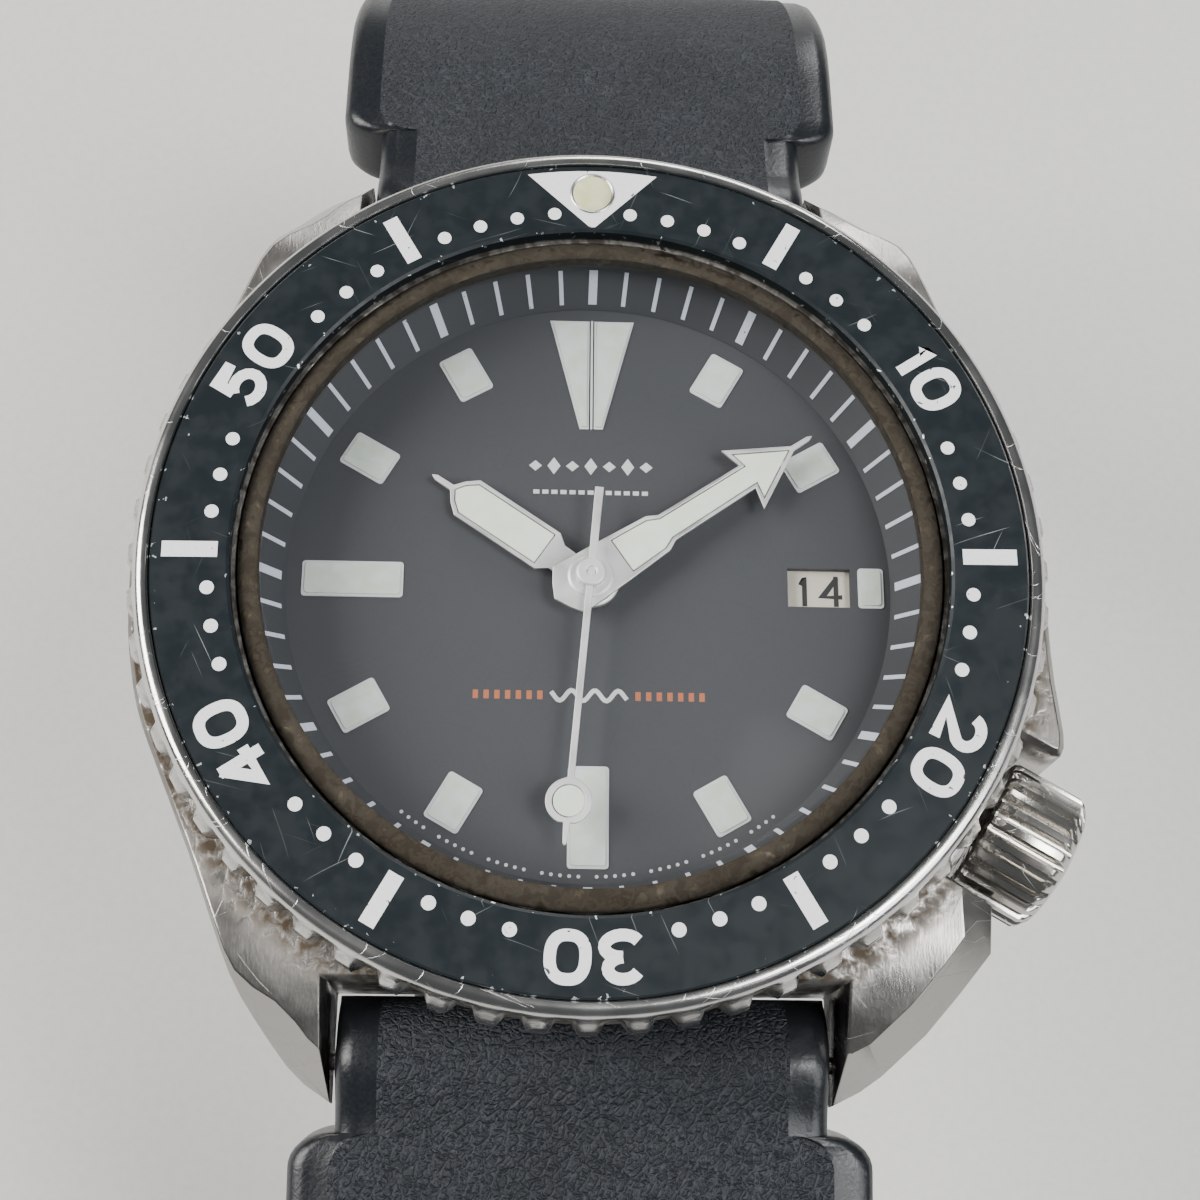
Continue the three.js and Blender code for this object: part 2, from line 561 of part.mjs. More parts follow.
/** Thickness of the strap at a distance along it. */
const strapThickness = (at) => THREE.MathUtils.lerp(4.4, 2.6, Math.min(1, at / 34));

/** One closed solid through a row of equal rings of points. */
function loft(rings) {
  const count = rings[0].length;
  const index = [];
  rings.slice(1).forEach((_, r) => {
    for (let i = 0; i < count; i++) {
      const j = (i + 1) % count;
      const [a, b, c, d] = [r * count + i, r * count + j, (r + 1) * count + j, (r + 1) * count + i];
      index.push(a, b, c, a, c, d);
    }
  });
  const last = (rings.length - 1) * count;
  for (let i = 1; i < count - 1; i++) index.push(0, i + 1, i, last, last + i, last + i + 1);
  const geometry = new THREE.BufferGeometry();
  geometry.setAttribute("position", new THREE.BufferAttribute(new Float32Array(rings.flat(2)), 3));
  geometry.setIndex(index);
  return solid(geometry);
}

/** A half strap on the +Y side as a solid, with its bore for the spring bar. */
function strapHalf(path) {
  const rings = path.map(({ y, z, slope, at, width }) => {
    const half = width / 2;
    const thick = strapThickness(at) / 2;
    const [down, along] = [Math.sin(radians(slope)), Math.cos(radians(slope))];
    const shoulder = [[half, thick - 0.7], [half - 0.9, thick]];
    const section = [[-half, -thick], [half, -thick], ...shoulder, ...mirrored(shoulder)];
    return section.map(([x, up]) => [x, y + up * down, z + up * along]);
  });
  const eye = bar(EYE_R, -STRAP_NARROW / 2, STRAP_NARROW / 2, 0, 0, 20).rotate([0, 90, 0]);
  const bore = bar(BAR_R + 0.08, -15, 15, 0, 0, 16).rotate([0, 90, 0]);
  return cut(join(loft(rings), eye.translate([0, BAR_Y, BAR_Z])), bore.translate([0, BAR_Y, BAR_Z]));
}

/** The same piece on the 6 o'clock side. */
const onSixSide = (body) => body.rotate([0, 0, 180]);

/** A hollow loop that lies round the strap at a point of its path. */
function keeper({ y, z, slope, at, width }, length, tailRoom) {
  const half = width / 2 + 0.35;
  const thick = strapThickness(at) / 2;
  const wall = 1.3;
  const low = -thick - 0.3;
  const high = thick + tailRoom;
  const outer = block([-half - wall, -length / 2, low - wall], [half + wall, length / 2, high + wall]);
  const inner = block([-half, -length, low], [half, length, high]);
  return cut(outer, inner).rotate([-slope, 0, 0]).translate([0, y, z]);
}

const shortPath = strapPath(SHOULDER_12, 20, 136, 0);
const longPath = strapPath(SHOULDER_6, 25, 180, 38);
const shortEnd = shortPath.at(-1);
const longEnd = longPath.at(-1);

/** Moves a solid built flat at the origin, with +Y along the strap, to a point on its path. */
const toPath = (body, { y, z, slope }) => body.rotate([-slope, 0, 0]).translate([0, y, z]);

const BUCKLE_BAR_R = 0.7;
function shortStrap() {
  const tongueSlot = toPath(block([-1.7, -4.5, -4], [1.7, 4, 4]), shortEnd);
  const eye = bar(1.5, -STRAP_TAIL / 2, STRAP_TAIL / 2, 0, 0, 16).rotate([0, 90, 0]);
  const bore = bar(BUCKLE_BAR_R + 0.08, -15, 15, 0, 0, 16).rotate([0, 90, 0]);
  const body = join(strapHalf(shortPath), toPath(eye, shortEnd));
  return cut(body, tongueSlot, toPath(bore, shortEnd));
}
piece("strap_12_half", shortStrap(), "rubber");

const HOLES = 10;
const HOLE_PITCH = 6;
const FIRST_HOLE = 11; // from the tail's tip
function longStrap() {
  const holes = Array.from({ length: HOLES }, (_, i) => {
    const at = longEnd.at - FIRST_HOLE - i * HOLE_PITCH;
    const after = longPath.findIndex((point) => point.at >= at);
    const [a, b] = [longPath[after - 1], longPath[after]];
    const share = (at - a.at) / (b.at - a.at);
    const mix = (key) => THREE.MathUtils.lerp(a[key], b[key], share);
    return toPath(bar(1.2, -3, 3, 0, 0, 8), { y: mix("y"), z: mix("z"), slope: mix("slope") });
  });
  const roundTip = toPath(bar(STRAP_TAIL / 2, -1.3, 1.3, 0, 0, 24).scale([1, 0.5, 1]), longEnd);
  return onSixSide(cut(join(strapHalf(longPath), roundTip), ...holes));
}
piece("strap_6_half", longStrap(), "rubber");

/** A spring bar: a shouldered tube with its two tips. */
function springBar(tubeHalf, tipHalf, radius) {
  return turned([
    [0, -tipHalf], [0.4, -tipHalf], [0.4, -tubeHalf], [radius, -tubeHalf],
    [radius, tubeHalf], [0.4, tubeHalf], [0.4, tipHalf], [0, tipHalf],
  ], SMALL).rotate([0, 90, 0]);
}
piece("spring_bar_12", springBar(10.95, 12.6, BAR_R).translate([0, BAR_Y, BAR_Z]), "steel");
piece("spring_bar_6", springBar(10.95, 12.6, BAR_R).translate([0, -BAR_Y, BAR_Z]), "steel");

const straight = shortPath.filter(({ slope }) => Math.abs(slope - SIDE_SLOPE) < 0.01);
piece("floating_keeper", keeper(straight[1], 5, 3.1), "rubber");
piece("fixed_keeper", keeper(shortPath.at(-4), 4, 3.1), "rubber");

// ---------------------------------------------------------------- buckle
// The frame and tongue hang straight down from a bar through the end of the short half.
const FRAME_HALF = 12.3; // half its width
const FRAME_REACH = 10.5; // from the bar to its far edge
const FRAME_THICK = 2.2;
const FRAME_SIDE = 1.9;
const TONGUE_HALF = 0.8;
const TONGUE_THICK = 0.8;

/** Hangs a solid from the buckle's bar: built flat with -Y away from the bar and -Z outwards. */
const atBuckle = (body) => body.rotate([90, 0, 0]).translate([0, shortEnd.y, shortEnd.z]);

function buckleFrame() {
  const top = FRAME_THICK / 2;
  const window = FRAME_HALF - FRAME_SIDE;
  const outer = block([-FRAME_HALF, -FRAME_REACH, -top], [FRAME_HALF, 1.3, top]);
  const inner = block([-window, 2.1 - FRAME_REACH, -3], [window, 3, 3]);
  const barHoles = bar(0.45, -14, 14, 0, 0, 8).rotate([0, 90, 0]);
  return atBuckle(cut(outer, inner, barHoles));
}
piece("buckle_frame", buckleFrame(), "steel");
piece("buckle_bar", springBar(10.3, 11.6, BUCKLE_BAR_R).translate([0, shortEnd.y, shortEnd.z]), "steel");

function buckleTongue() {
  const rest = -FRAME_THICK / 2 - 0.3; // the blade lies just off the frame's outer face
  const loop = ring(BUCKLE_BAR_R + 0.1, 1.35, -1.1, 1.1, 16).rotate([0, 90, 0]);
  const blade = block([-TONGUE_HALF, -FRAME_REACH - 0.4, rest - TONGUE_THICK], [TONGUE_HALF, -1.6, rest]);
  const neckProfile = [[-2.4, rest - TONGUE_THICK], [-0.9, -1.2], [-1.2, -0.3], [-2.4, rest]];
  const neck = sidePlate(neckProfile, TONGUE_HALF);
  return atBuckle(join(loop, blade, neck));
}
piece("buckle_tongue", buckleTongue(), "steel");

export default watch;
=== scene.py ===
"""A self-winding dive watch on a rubber strap, dressed over its CAD frame.

Sizes are in millimetres, in the frame's own axes: +Z out of the dial, +Y to 12 o'clock and +X to
3 o'clock. A mesh is scaled to metres when it is made into a piece.
"""

import logging
import math
from dataclasses import dataclass, field
from enum import Enum
from typing import Callable, Iterable, Sequence

import bmesh
import bpy
from mathutils import Matrix, Vector
from mathutils.geometry import delaunay_2d_cdt


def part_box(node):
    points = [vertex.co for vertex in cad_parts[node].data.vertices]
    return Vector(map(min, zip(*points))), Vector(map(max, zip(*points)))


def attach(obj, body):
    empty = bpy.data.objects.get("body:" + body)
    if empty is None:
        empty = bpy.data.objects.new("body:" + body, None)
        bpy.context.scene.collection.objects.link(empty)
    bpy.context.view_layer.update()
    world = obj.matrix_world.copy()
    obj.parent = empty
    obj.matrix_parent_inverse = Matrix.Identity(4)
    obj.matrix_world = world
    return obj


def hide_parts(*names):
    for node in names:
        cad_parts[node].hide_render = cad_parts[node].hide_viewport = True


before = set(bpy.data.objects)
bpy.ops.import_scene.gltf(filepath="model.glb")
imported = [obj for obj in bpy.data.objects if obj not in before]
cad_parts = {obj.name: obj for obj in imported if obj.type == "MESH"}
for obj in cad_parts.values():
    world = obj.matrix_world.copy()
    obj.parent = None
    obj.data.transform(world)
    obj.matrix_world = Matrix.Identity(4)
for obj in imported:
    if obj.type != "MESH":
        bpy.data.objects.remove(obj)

LOG = logging.getLogger("dive_watch")
MM = 0.001
Point2 = tuple[float, float]
Colour = tuple[float, float, float]


# ------------------------------------------------------------------ geometry
def turn_about(axis: str, degrees: float) -> Matrix:
    """A turn about the X, Y or Z axis."""
    return Matrix.Rotation(math.radians(degrees), 4, axis)


def clockwise(degrees: float) -> Matrix:
    """A turn about the dial's axis by an angle clockwise from 12."""
    return turn_about("Z", -degrees)


def shift(x: float, y: float, z: float) -> Matrix:
    """A move without a turn."""
    return Matrix.Translation((x, y, z))


def smoothstep(value: float, low: float, high: float) -> float:
    """0 below low, 1 above high and a smooth rise between them."""
    share = min(1.0, max(0.0, (value - low) / (high - low)))
    return share * share * (3 - 2 * share)


def arc(centre: Point2, radii: Point2, start: float, end: float, steps: int = 14) -> list[Point2]:
    """Points along an arc of an ellipse.

    Args:
        centre: The ellipse's middle.
        radii: Its half width and half height.
        start: Angle of the first point, in degrees anticlockwise from +X.
        end: Angle of the last point.
        steps: How many stretches the arc is cut into.

    Returns:
        The points, first to last.
    """
    turns = (math.radians(start + (end - start) * i / steps) for i in range(steps + 1))
    return [(centre[0] + radii[0] * math.cos(t), centre[1] + radii[1] * math.sin(t)) for t in turns]


def circle(radius: float, steps: int = 48, centre: Point2 = (0.0, 0.0)) -> list[Point2]:
    """Points round a circle, the first one not repeated."""
    return arc(centre, (radius, radius), 0, 360, steps)[:-1]


def mirrored(half: Sequence[Point2]) -> list[Point2]:
    """A closed outline from its right half, which runs from the top to the bottom."""
    left = [(-x, y) for x, y in reversed(half) if abs(x) > 1e-6]
    return list(half) + left


def inset(outline: Sequence[Point2], amounts: Sequence[float]) -> list[Point2]:
    """Moves each edge of an anticlockwise outline inwards.

    Args:
        outline: The corners.
        amounts: How far each edge moves, the first for the edge from corner 0 to corner 1.

    Returns:
        The moved corners, one for each old corner.
    """
    count = len(outline)
    normals = []
    for i in range(count):
        edge = Vector(outline[(i + 1) % count]) - Vector(outline[i])
        normals.append(Vector((-edge.y, edge.x)).normalized())
    moved = []
    for i in range(count):
        before, after = normals[i - 1], normals[i]
        first, second = amounts[i - 1], amounts[i]
        cross = before.x * after.y - before.y * after.x
        if abs(cross) < 0.15:
            step = (before + after).normalized() * (first + second) / 2
        else:
            step = Vector((
                (first * after.y - second * before.y) / cross,
                (second * before.x - first * after.x) / cross,
            ))
        moved.append(tuple(Vector(outline[i]) + step))
    return moved


class Shape:
    """A mesh in the making: points in millimetres, and faces."""

    def __init__(self) -> None:
        """Starts with nothing."""
        self.points: list[Vector] = []
        self.faces: list[list[int]] = []
        self.tones: list[int] = []
        self.tone = 0

    def ring(self, points: Iterable[Sequence[float]]) -> list[int]:
        """Adds points and returns their numbers."""
        first = len(self.points)
        self.points.extend(Vector(point) for point in points)
        return list(range(first, len(self.points)))

    def face(self, numbers: Sequence[int]) -> None:
        """Adds a face in the current tone."""
        self.faces.append(list(numbers))
        self.tones.append(self.tone)

    def bridge(self, low: list[int], high: list[int], toned: Sequence[int] = ()) -> None:
        """Joins two equal loops of points with quads.

        Args:
            low: The first loop.
            high: The second loop.
            toned: The columns that take tone 1.
        """
        count = len(low)
        for i in range(count):
            j = (i + 1) % count
            self.face([low[i], low[j], high[j], high[i]])
            if i in toned:
                self.tones[-1] = 1

    def loft(
        self,
        loops: Sequence[Sequence[Sequence[float]]],
        joined: bool = False,
        toned: Sequence[int] = (),
    ) -> "Shape":
        """Skins a row of equal loops.

        Args:
            loops: The loops of points.
            joined: True if the last loop meets the first, and False if both ends get a cap.
            toned: The columns that take tone 1.

        Returns:
            This shape.
        """
        rings = [self.ring(loop) for loop in loops]
        for low, high in zip(rings, rings[1:]):
            self.bridge(low, high, toned)
        if joined:
            self.bridge(rings[-1], rings[0], toned)
        else:
            self.face(rings[0][::-1])
            self.face(rings[-1])
        return self

    def lathe(
        self,
        profile: Sequence[Point2],
        segments: int = 96,
        relief: Callable[[int, float], Point2] | None = None,
    ) -> "Shape":
        """Turns a profile about Z.

        Args:
            profile: Radius and height of each row. One that starts and ends on the axis is a solid,
                and any other closes on itself.
            segments: How many steps there are in a turn.
            relief: Gives what a row's radius and height change by at an angle in radians.

        Returns:
            This shape.
        """
        rings: list[list[int]] = []
        for row, (radius, height) in enumerate(profile):
            if radius < 1e-9:
                rings.append(self.ring([(0, 0, height)]))
                continue
            points = []
            for i in range(segments):
                angle = math.tau * i / segments
                change = relief(row, angle) if relief else (0.0, 0.0)
                r = radius + change[0]
                points.append((r * math.cos(angle), r * math.sin(angle), height + change[1]))
            rings.append(self.ring(points))
        solid = len(rings[0]) == 1
        for low, high in zip(rings, rings[1:] if solid else rings[1:] + rings[:1]):
            if len(low) == 1 or len(high) == 1:
                point, loop = (low[0], high) if len(low) == 1 else (high[0], low)
                for i in range(segments):
                    self.face([point, loop[i], loop[(i + 1) % segments]])
            else:
                self.bridge(low, high)
        return self

    def sheet(
        self,
        outlines: Sequence[Sequence[Point2]],
        height: Callable[[float, float], float],
        spacing: float = 0.0,
    ) -> list[list[int]]:
        """Fills an outline that may have holes.

        Args:
            outlines: The outer outline, then the holes.
            height: Gives z at x, y.
            spacing: Distance between extra points inside, or 0 for none.

        Returns:
            The numbers of each outline's points.
        """
        flat = [Vector(point) for outline in outlines for point in outline]
        edges, numbers, start = [], [], 0
        for outline in outlines:
            loop = list(range(start, start + len(outline)))
            edges += list(zip(loop, loop[1:] + loop[:1]))
            numbers.append(loop)
            start += len(outline)
        fixed = len(flat)
        if spacing:
            xs, ys = [p.x for p in flat], [p.y for p in flat]
            for i in range(int((max(xs) - min(xs)) / spacing)):
                for j in range(int((max(ys) - min(ys)) / spacing)):
                    shift = 0.5 * (j % 2)
                    point = Vector((min(xs) + (i + 0.5 + shift) * spacing, min(ys) + (j + 0.5) * spacing))
                    clear = min((point - other).length for other in flat[:fixed]) > spacing * 0.6
                    if clear and inside(point, outlines):
                        flat.append(point)
        points, _, faces, sources, _, _ = delaunay_2d_cdt(flat, edges, [], 0, 1e-5)
        order = {source: i for i, group in enumerate(sources) for source in group}
        first = len(self.points)
        self.ring((p.x, p.y, height(p.x, p.y)) for p in points)
        for face in faces:
            middle = sum((points[i] for i in face), Vector((0, 0))) / len(face)
            if inside(middle, outlines):
                self.face([first + i for i in face])
        return [[first + order[i] for i in loop] for loop in numbers]

    def plate(self, outlines: Sequence[Sequence[Point2]], low: float, high: float) -> "Shape":
        """A flat plate between two heights, with holes for all outlines after the first."""
        bottoms = self.sheet(outlines, lambda x, y: low)
        tops = self.sheet(outlines, lambda x, y: high)
        for bottom, top in zip(bottoms, tops):
            self.bridge(bottom, top)
        return self

    def ribbon(
        self, line: Sequence[Point2], width: float, low: float, high: float, loop: bool = False
    ) -> "Shape":
        """A flat stroke of even width along a line.

        Args:
            line: The points of its middle.
            width: How wide it is.
            low: Height of its underside.
            high: Height of its top.
            loop: True if the line closes on itself.

        Returns:
            This shape.
        """
        spots = [Vector(point) for point in line]
        rows = []
        for i, spot in enumerate(spots):
            before = spots[i - 1] if i or loop else spot
            after = spots[(i + 1) % len(spots)] if i < len(spots) - 1 or loop else spot
            along = (after - before).normalized()
            next_way = (after - spot).normalized() if after != spot else along
            miter = max(0.5, along.dot(next_way))
            side = Vector((-along.y, along.x)) * width / 2 / miter
            a, b = spot + side, spot - side
            rows.append([(a.x, a.y, low), (b.x, b.y, low), (b.x, b.y, high), (a.x, a.y, high)])
        return self.loft(rows, joined=loop)

    def moved(self, matrix: Matrix) -> "Shape":
        """Moves every point so far."""
        self.points = [matrix @ point for point in self.points]
        return self

    def add(self, other: "Shape") -> "Shape":
        """Takes in another shape's points and faces."""
        first = len(self.points)
        self.points += other.points
        self.faces += [[first + i for i in face] for face in other.faces]
        self.tones += other.tones
        return self


def inside(point: Vector, outlines: Sequence[Sequence[Point2]]) -> bool:
    """True if a point is within an odd number of outlines."""
    odd = False
    for outline in outlines:
        for (x0, y0), (x1, y1) in zip(outline, [*outline[1:], outline[0]]):
            if (y0 > point.y) != (y1 > point.y):
                odd ^= point.x < (x1 - x0) * (point.y - y0) / (y1 - y0) + x0
    return odd


# ------------------------------------------------------------------ materials
class Graph:
    """A material's node tree, with short calls for the nodes that the finishes share."""

    def __init__(self, name: str) -> None:
        """Makes an empty material with one Principled shader."""
        self.material = bpy.data.materials.new(name)
        self.material.use_nodes = True
        self.tree = self.material.node_tree
        self.shader = self.tree.nodes["Principled BSDF"]
        spot = self.node("ShaderNodeTexCoord").outputs["Object"]
        self.mm = self.vector("SCALE", spot, 1 / MM)

    def node(self, kind: str, **settings: object) -> bpy.types.Node:
        """Adds a node and sets its properties."""
        made = self.tree.nodes.new(kind)
        for key, value in settings.items():
            setattr(made, key, value)
        return made

    def put(self, socket: bpy.types.NodeSocket, value: object) -> None:
        """Links a socket to an output, or sets it to a value."""
        if isinstance(value, bpy.types.NodeSocket):
            self.tree.links.new(value, socket)
        elif value is not None:
            socket.default_value = value

    def base(self, colour: object) -> None:
        """Sets the shader's colour."""
        self.put(self.shader.inputs["Base Color"], (*colour, 1.0) if isinstance(colour, tuple) else colour)

    def rough(self, roughness: object) -> None:
        """Sets the shader's roughness."""
        self.put(self.shader.inputs["Roughness"], roughness)

    def times(self, first: object, second: object) -> bpy.types.NodeSocket:
        """The product of two numbers."""
        return self.sum("MULTIPLY", first, second)

    def sum(
        self, operation: str, first: object, second: object = None, clamp: bool = False
    ) -> bpy.types.NodeSocket:
        """The result of a Math node."""
        made = self.node("ShaderNodeMath", operation=operation, use_clamp=clamp)
        self.put(made.inputs[0], first)
        self.put(made.inputs[1], second)
        return made.outputs[0]

    def vector(self, operation: str, first: object, second: object) -> bpy.types.NodeSocket:
        """The vector result of a Vector Math node."""
        made = self.node("ShaderNodeVectorMath", operation=operation)
        self.put(made.inputs[0], first)
        self.put(made.inputs["Scale" if operation == "SCALE" else 1], second)
        return made.outputs[0]

    def parts(self, vector: bpy.types.NodeSocket) -> tuple[bpy.types.NodeSocket, ...]:
        """The x, y and z of a vector."""
        made = self.node("ShaderNodeSeparateXYZ")
        self.put(made.inputs[0], vector)
        return tuple(made.outputs)

    def joined(self, x: object, y: object, z: object) -> bpy.types.NodeSocket:
        """A vector from x, y and z."""
        made = self.node("ShaderNodeCombineXYZ")
        for socket, value in zip(made.inputs, (x, y, z)):
            self.put(socket, value)
        return made.outputs[0]

    def around(self) -> tuple[bpy.types.NodeSocket, bpy.types.NodeSocket, bpy.types.NodeSocket]:
        """Distance from the dial's axis, angle round it in radians, and height, in millimetres."""
        x, y, z = self.parts(self.mm)
        radius = self.sum("SQRT", self.sum("ADD", self.times(x, x), self.times(y, y)))
        return radius, self.sum("ARCTAN2", y, x), z

    def noise(
        self, scale: float, detail: float = 3.0, vector: object = None, warp: float = 0.0
    ) -> bpy.types.NodeSocket:
        """Noise with a number of features per millimetre."""
        made = self.node("ShaderNodeTexNoise")
        self.put(made.inputs["Vector"], vector or self.mm)
        self.put(made.inputs["Scale"], scale)
        self.put(made.inputs["Detail"], detail)
        self.put(made.inputs["Distortion"], warp)
        return made.outputs["Fac"]

    def cells(self, scale: float, vector: object = None, feature: str = "F1") -> bpy.types.NodeSocket:
        """Distances in a Voronoi pattern."""
        made = self.node("ShaderNodeTexVoronoi", feature=feature)
        self.put(made.inputs["Vector"], vector or self.mm)
        self.put(made.inputs["Scale"], scale)
        return made.outputs["Distance"]

    def band(self, value: object, low: float, high: float, out: Point2 = (0.0, 1.0)) -> bpy.types.NodeSocket:
        """Maps a range onto another, smoothly and clamped."""
        made = self.node("ShaderNodeMapRange", interpolation_type="SMOOTHSTEP")
        for key, number in (("Value", value), ("From Min", low), ("From Max", high)):
            self.put(made.inputs[key], number)
        self.put(made.inputs["To Min"], out[0])
        self.put(made.inputs["To Max"], out[1])
        return made.outputs["Result"]

    def blend(self, share: object, first: object, second: object) -> bpy.types.NodeSocket:
        """A mix of two colours."""
        made = self.node("ShaderNodeMix", data_type="RGBA")
        self.put(made.inputs["Factor"], share)
        for key, colour in (("A", first), ("B", second)):
            socket = next(s for s in made.inputs if s.name == key and s.type == "RGBA")
            self.put(socket, (*colour, 1.0) if isinstance(colour, tuple) else colour)
        return next(s for s in made.outputs if s.type == "RGBA")

    def relief(self, height: object, strength: float, depth: float) -> None:
        """Adds a bump on top of those so far.

        Args:
            height: The height, 0 to 1.
            strength: How much of it shows.
            depth: What a height of 1 is, in millimetres.
        """
        made = self.node("ShaderNodeBump")
        self.put(made.inputs["Height"], height)
        self.put(made.inputs["Strength"], strength)
        self.put(made.inputs["Distance"], depth * MM)
        links = self.shader.inputs["Normal"].links
        if links:
            self.put(made.inputs["Normal"], links[0].from_socket)
        self.put(self.shader.inputs["Normal"], made.outputs["Normal"])

    def scratches(self, density: float = 0.5) -> bpy.types.NodeSocket:
        """Fine scratches in four directions, 0 to 1.

        Args:
            density: How many there are, 0 to 1.

        Returns:
            The scratches' mask.
        """
        x, y, z = self.parts(self.mm)
        bend = self.times(self.noise(0.09, 1.0), 2.0)
        total: object = 0.0
        for turn, seed in ((0.4, 3.0), (1.25, 11.0), (2.0, 29.0), (2.75, 47.0)):
            c, s = math.cos(turn), math.sin(turn)
            across = self.sum("ADD", self.times(x, c), self.times(y, s))
            along = self.sum("SUBTRACT", self.times(y, c), self.times(x, s))
            across = self.sum("ADD", self.sum("ADD", across, bend), z)
            stretched = self.joined(self.times(across, 13.0), self.times(along, 0.22), seed)
            line = self.band(self.noise(1.0, 0.0, stretched), 0.83 - 0.06 * density, 0.87 - 0.04 * density)
            total = self.sum("MAXIMUM", total, line)
        return total


class Brush(Enum):
    """Which way a metal's fine lines run."""

    NONE = "none"
    ROUND = "round the dial's axis"
    ALONG_X = "along X"
    ALONG_Y = "along Y"


@dataclass(frozen=True)
class Finish:
    """What every finish has: a name, a slot, a colour and a roughness."""

    name: str
    slot: str
    colour: Colour
    roughness: float

    def material(self) -> bpy.types.Material:
        """The finish as a material, made on first use."""
        name = f"finish_{self.name}"
        known = bpy.data.materials.get(name)
        if known:
            return known
        graph = Graph(name)
        graph.base(self.colour)
        graph.rough(self.roughness)
        self.dress(graph)
        graph.material.diffuse_color = (*self.colour, 1.0)
        return graph.material

    def dress(self, graph: Graph) -> None:
        """Adds this finish's own pattern."""
        mottle = graph.noise(1.5, 3.0)
        darker = tuple(0.86 * channel for channel in self.colour)
        graph.base(graph.blend(mottle, darker, self.colour))
        graph.relief(graph.noise(9.0, 2.0), 0.15, 0.02)


@dataclass(frozen=True)
class Metal(Finish):
    """A metal with brush lines, scratches and old dirt."""

    brush: Brush = Brush.NONE
    scratched: float = 0.4
    dirt: float = 0.0
    dirt_from: Point2 = (0.0, 0.0)
    dirt_below: Point2 | None = None
    dirt_colour: Colour = (0.09, 0.065, 0.04)

    def lines(self, graph: Graph) -> bpy.types.NodeSocket | None:
        """The brush lines' height, or None."""
        radius, angle, height = graph.around()
        x, y, z = graph.parts(graph.mm)
        across = {
            Brush.ROUND: ((radius, 9.0), (angle, 1.6), (height, 6.0)),
            Brush.ALONG_X: ((x, 0.25), (y, 9.0), (z, 9.0)),
            Brush.ALONG_Y: ((x, 9.0), (y, 0.25), (z, 9.0)),
        }.get(self.brush)
        if across is None:
            return None
        return graph.noise(1.0, 4.0, graph.joined(*(graph.times(way, scale) for way, scale in across)))

    def dress(self, graph: Graph) -> None:
        """Lines, scratches, dull patches, and dirt near a radius or low in a notch."""
        shader = graph.shader
        graph.put(shader.inputs["Metallic"], 1.0)
        patches = graph.noise(0.35, 3.0)
        scratches = graph.scratches(self.scratched)
        tone = graph.blend(patches, tuple(0.82 * c for c in self.colour), self.colour)
        rough = graph.band(patches, 0.3, 0.7, (self.roughness * 0.8, self.roughness * 1.3))
        rough = graph.sum("ADD", rough, graph.times(scratches, 0.15))
        lines = self.lines(graph)
        if lines:
            graph.relief(lines, 0.35, 0.03)
            grooves = graph.band(lines, 0.35, 0.65, (0.0, 0.35))
            tone = graph.blend(grooves, tone, tuple(0.6 * c for c in self.colour))
        graph.relief(scratches, 0.5 * self.scratched, 0.02)
        graph.relief(graph.noise(0.6, 2.0), 0.12, 0.12)
        if self.dirt:
            radius, _, height = graph.around()
            near = graph.band(radius, self.dirt_from[0], self.dirt_from[1], (1.0, 0.0))
            if self.dirt_below:
                near = graph.times(near, graph.band(height, *self.dirt_below, (1.0, 0.0)))
            spots = graph.band(graph.noise(1.7, 6.0, warp=0.4), 0.62 - 0.3 * self.dirt, 0.62)
            mask = graph.times(near, spots)
            tone = graph.blend(mask, tone, self.dirt_colour)
            rough = graph.sum("ADD", rough, graph.times(mask, 0.45), clamp=True)
            graph.put(shader.inputs["Metallic"], graph.band(mask, 0.2, 0.9, (1.0, 0.15)))
            graph.relief(mask, 0.4, 0.08)
        graph.base(tone)
        graph.rough(rough)


@dataclass(frozen=True)
class Anodised(Finish):
    """The black insert: fine scratches down to bare aluminium, most of them near its two edges."""

    edges: Point2 = (15.75, 19.15)
    bare: Colour = (0.62, 0.66, 0.66)

    def dress(self, graph: Graph) -> None:
        """Dark coat, hairlines, edge chips and a faint blotchy tone."""
        radius, _, _ = graph.around()
        tone = graph.blend(graph.noise(0.5, 4.0), self.colour, tuple(1.4 * c for c in self.colour))
        outer = graph.band(radius, self.edges[1] - 0.9, self.edges[1])
        inner = graph.band(radius, self.edges[0], self.edges[0] + 0.45, (1.0, 0.0))
        rim = graph.sum("MAXIMUM", outer, inner)
        threshold = graph.sum("SUBTRACT", 0.8, graph.times(rim, 0.15))
        chips = graph.sum("GREATER_THAN", graph.noise(2.6, 5.0, warp=0.3), threshold)
        worn = graph.band(graph.noise(0.25), 0.4, 0.62, (0.04, 0.32))
        hairs = graph.times(graph.scratches(0.15), worn)
        bare = graph.sum("MAXIMUM", chips, hairs)
        graph.base(graph.blend(bare, tone, self.bare))
        graph.rough(graph.band(graph.noise(1.1), 0.3, 0.7, (0.3, 0.46)))
        graph.put(graph.shader.inputs["Metallic"], graph.times(chips, 0.8))
        graph.put(graph.shader.inputs["Specular IOR Level"], 0.3)
        graph.relief(bare, 0.35, 0.03)


@dataclass(frozen=True)
class Paint(Finish):
    """Printed or sprayed paint, with specks and chips that show what is under it."""

    under: Colour = (0.05, 0.06, 0.065)
    chipped: float = 0.0
    speckled: float = 0.1

    def dress(self, graph: Graph) -> None:
        """Fine grain, specks of dust and chips."""
        grain = graph.noise(7.0, 4.0)
        tone = graph.blend(grain, tuple(c * (1 - self.speckled * 1.6) for c in self.colour), self.colour)
        if self.chipped:
            chips = graph.sum("GREATER_THAN", graph.noise(2.6, 6.0, warp=0.5), 0.72 - 0.1 * self.chipped)
            tone = graph.blend(chips, tone, self.under)
        graph.base(tone)
        graph.relief(grain, 0.2, 0.02)


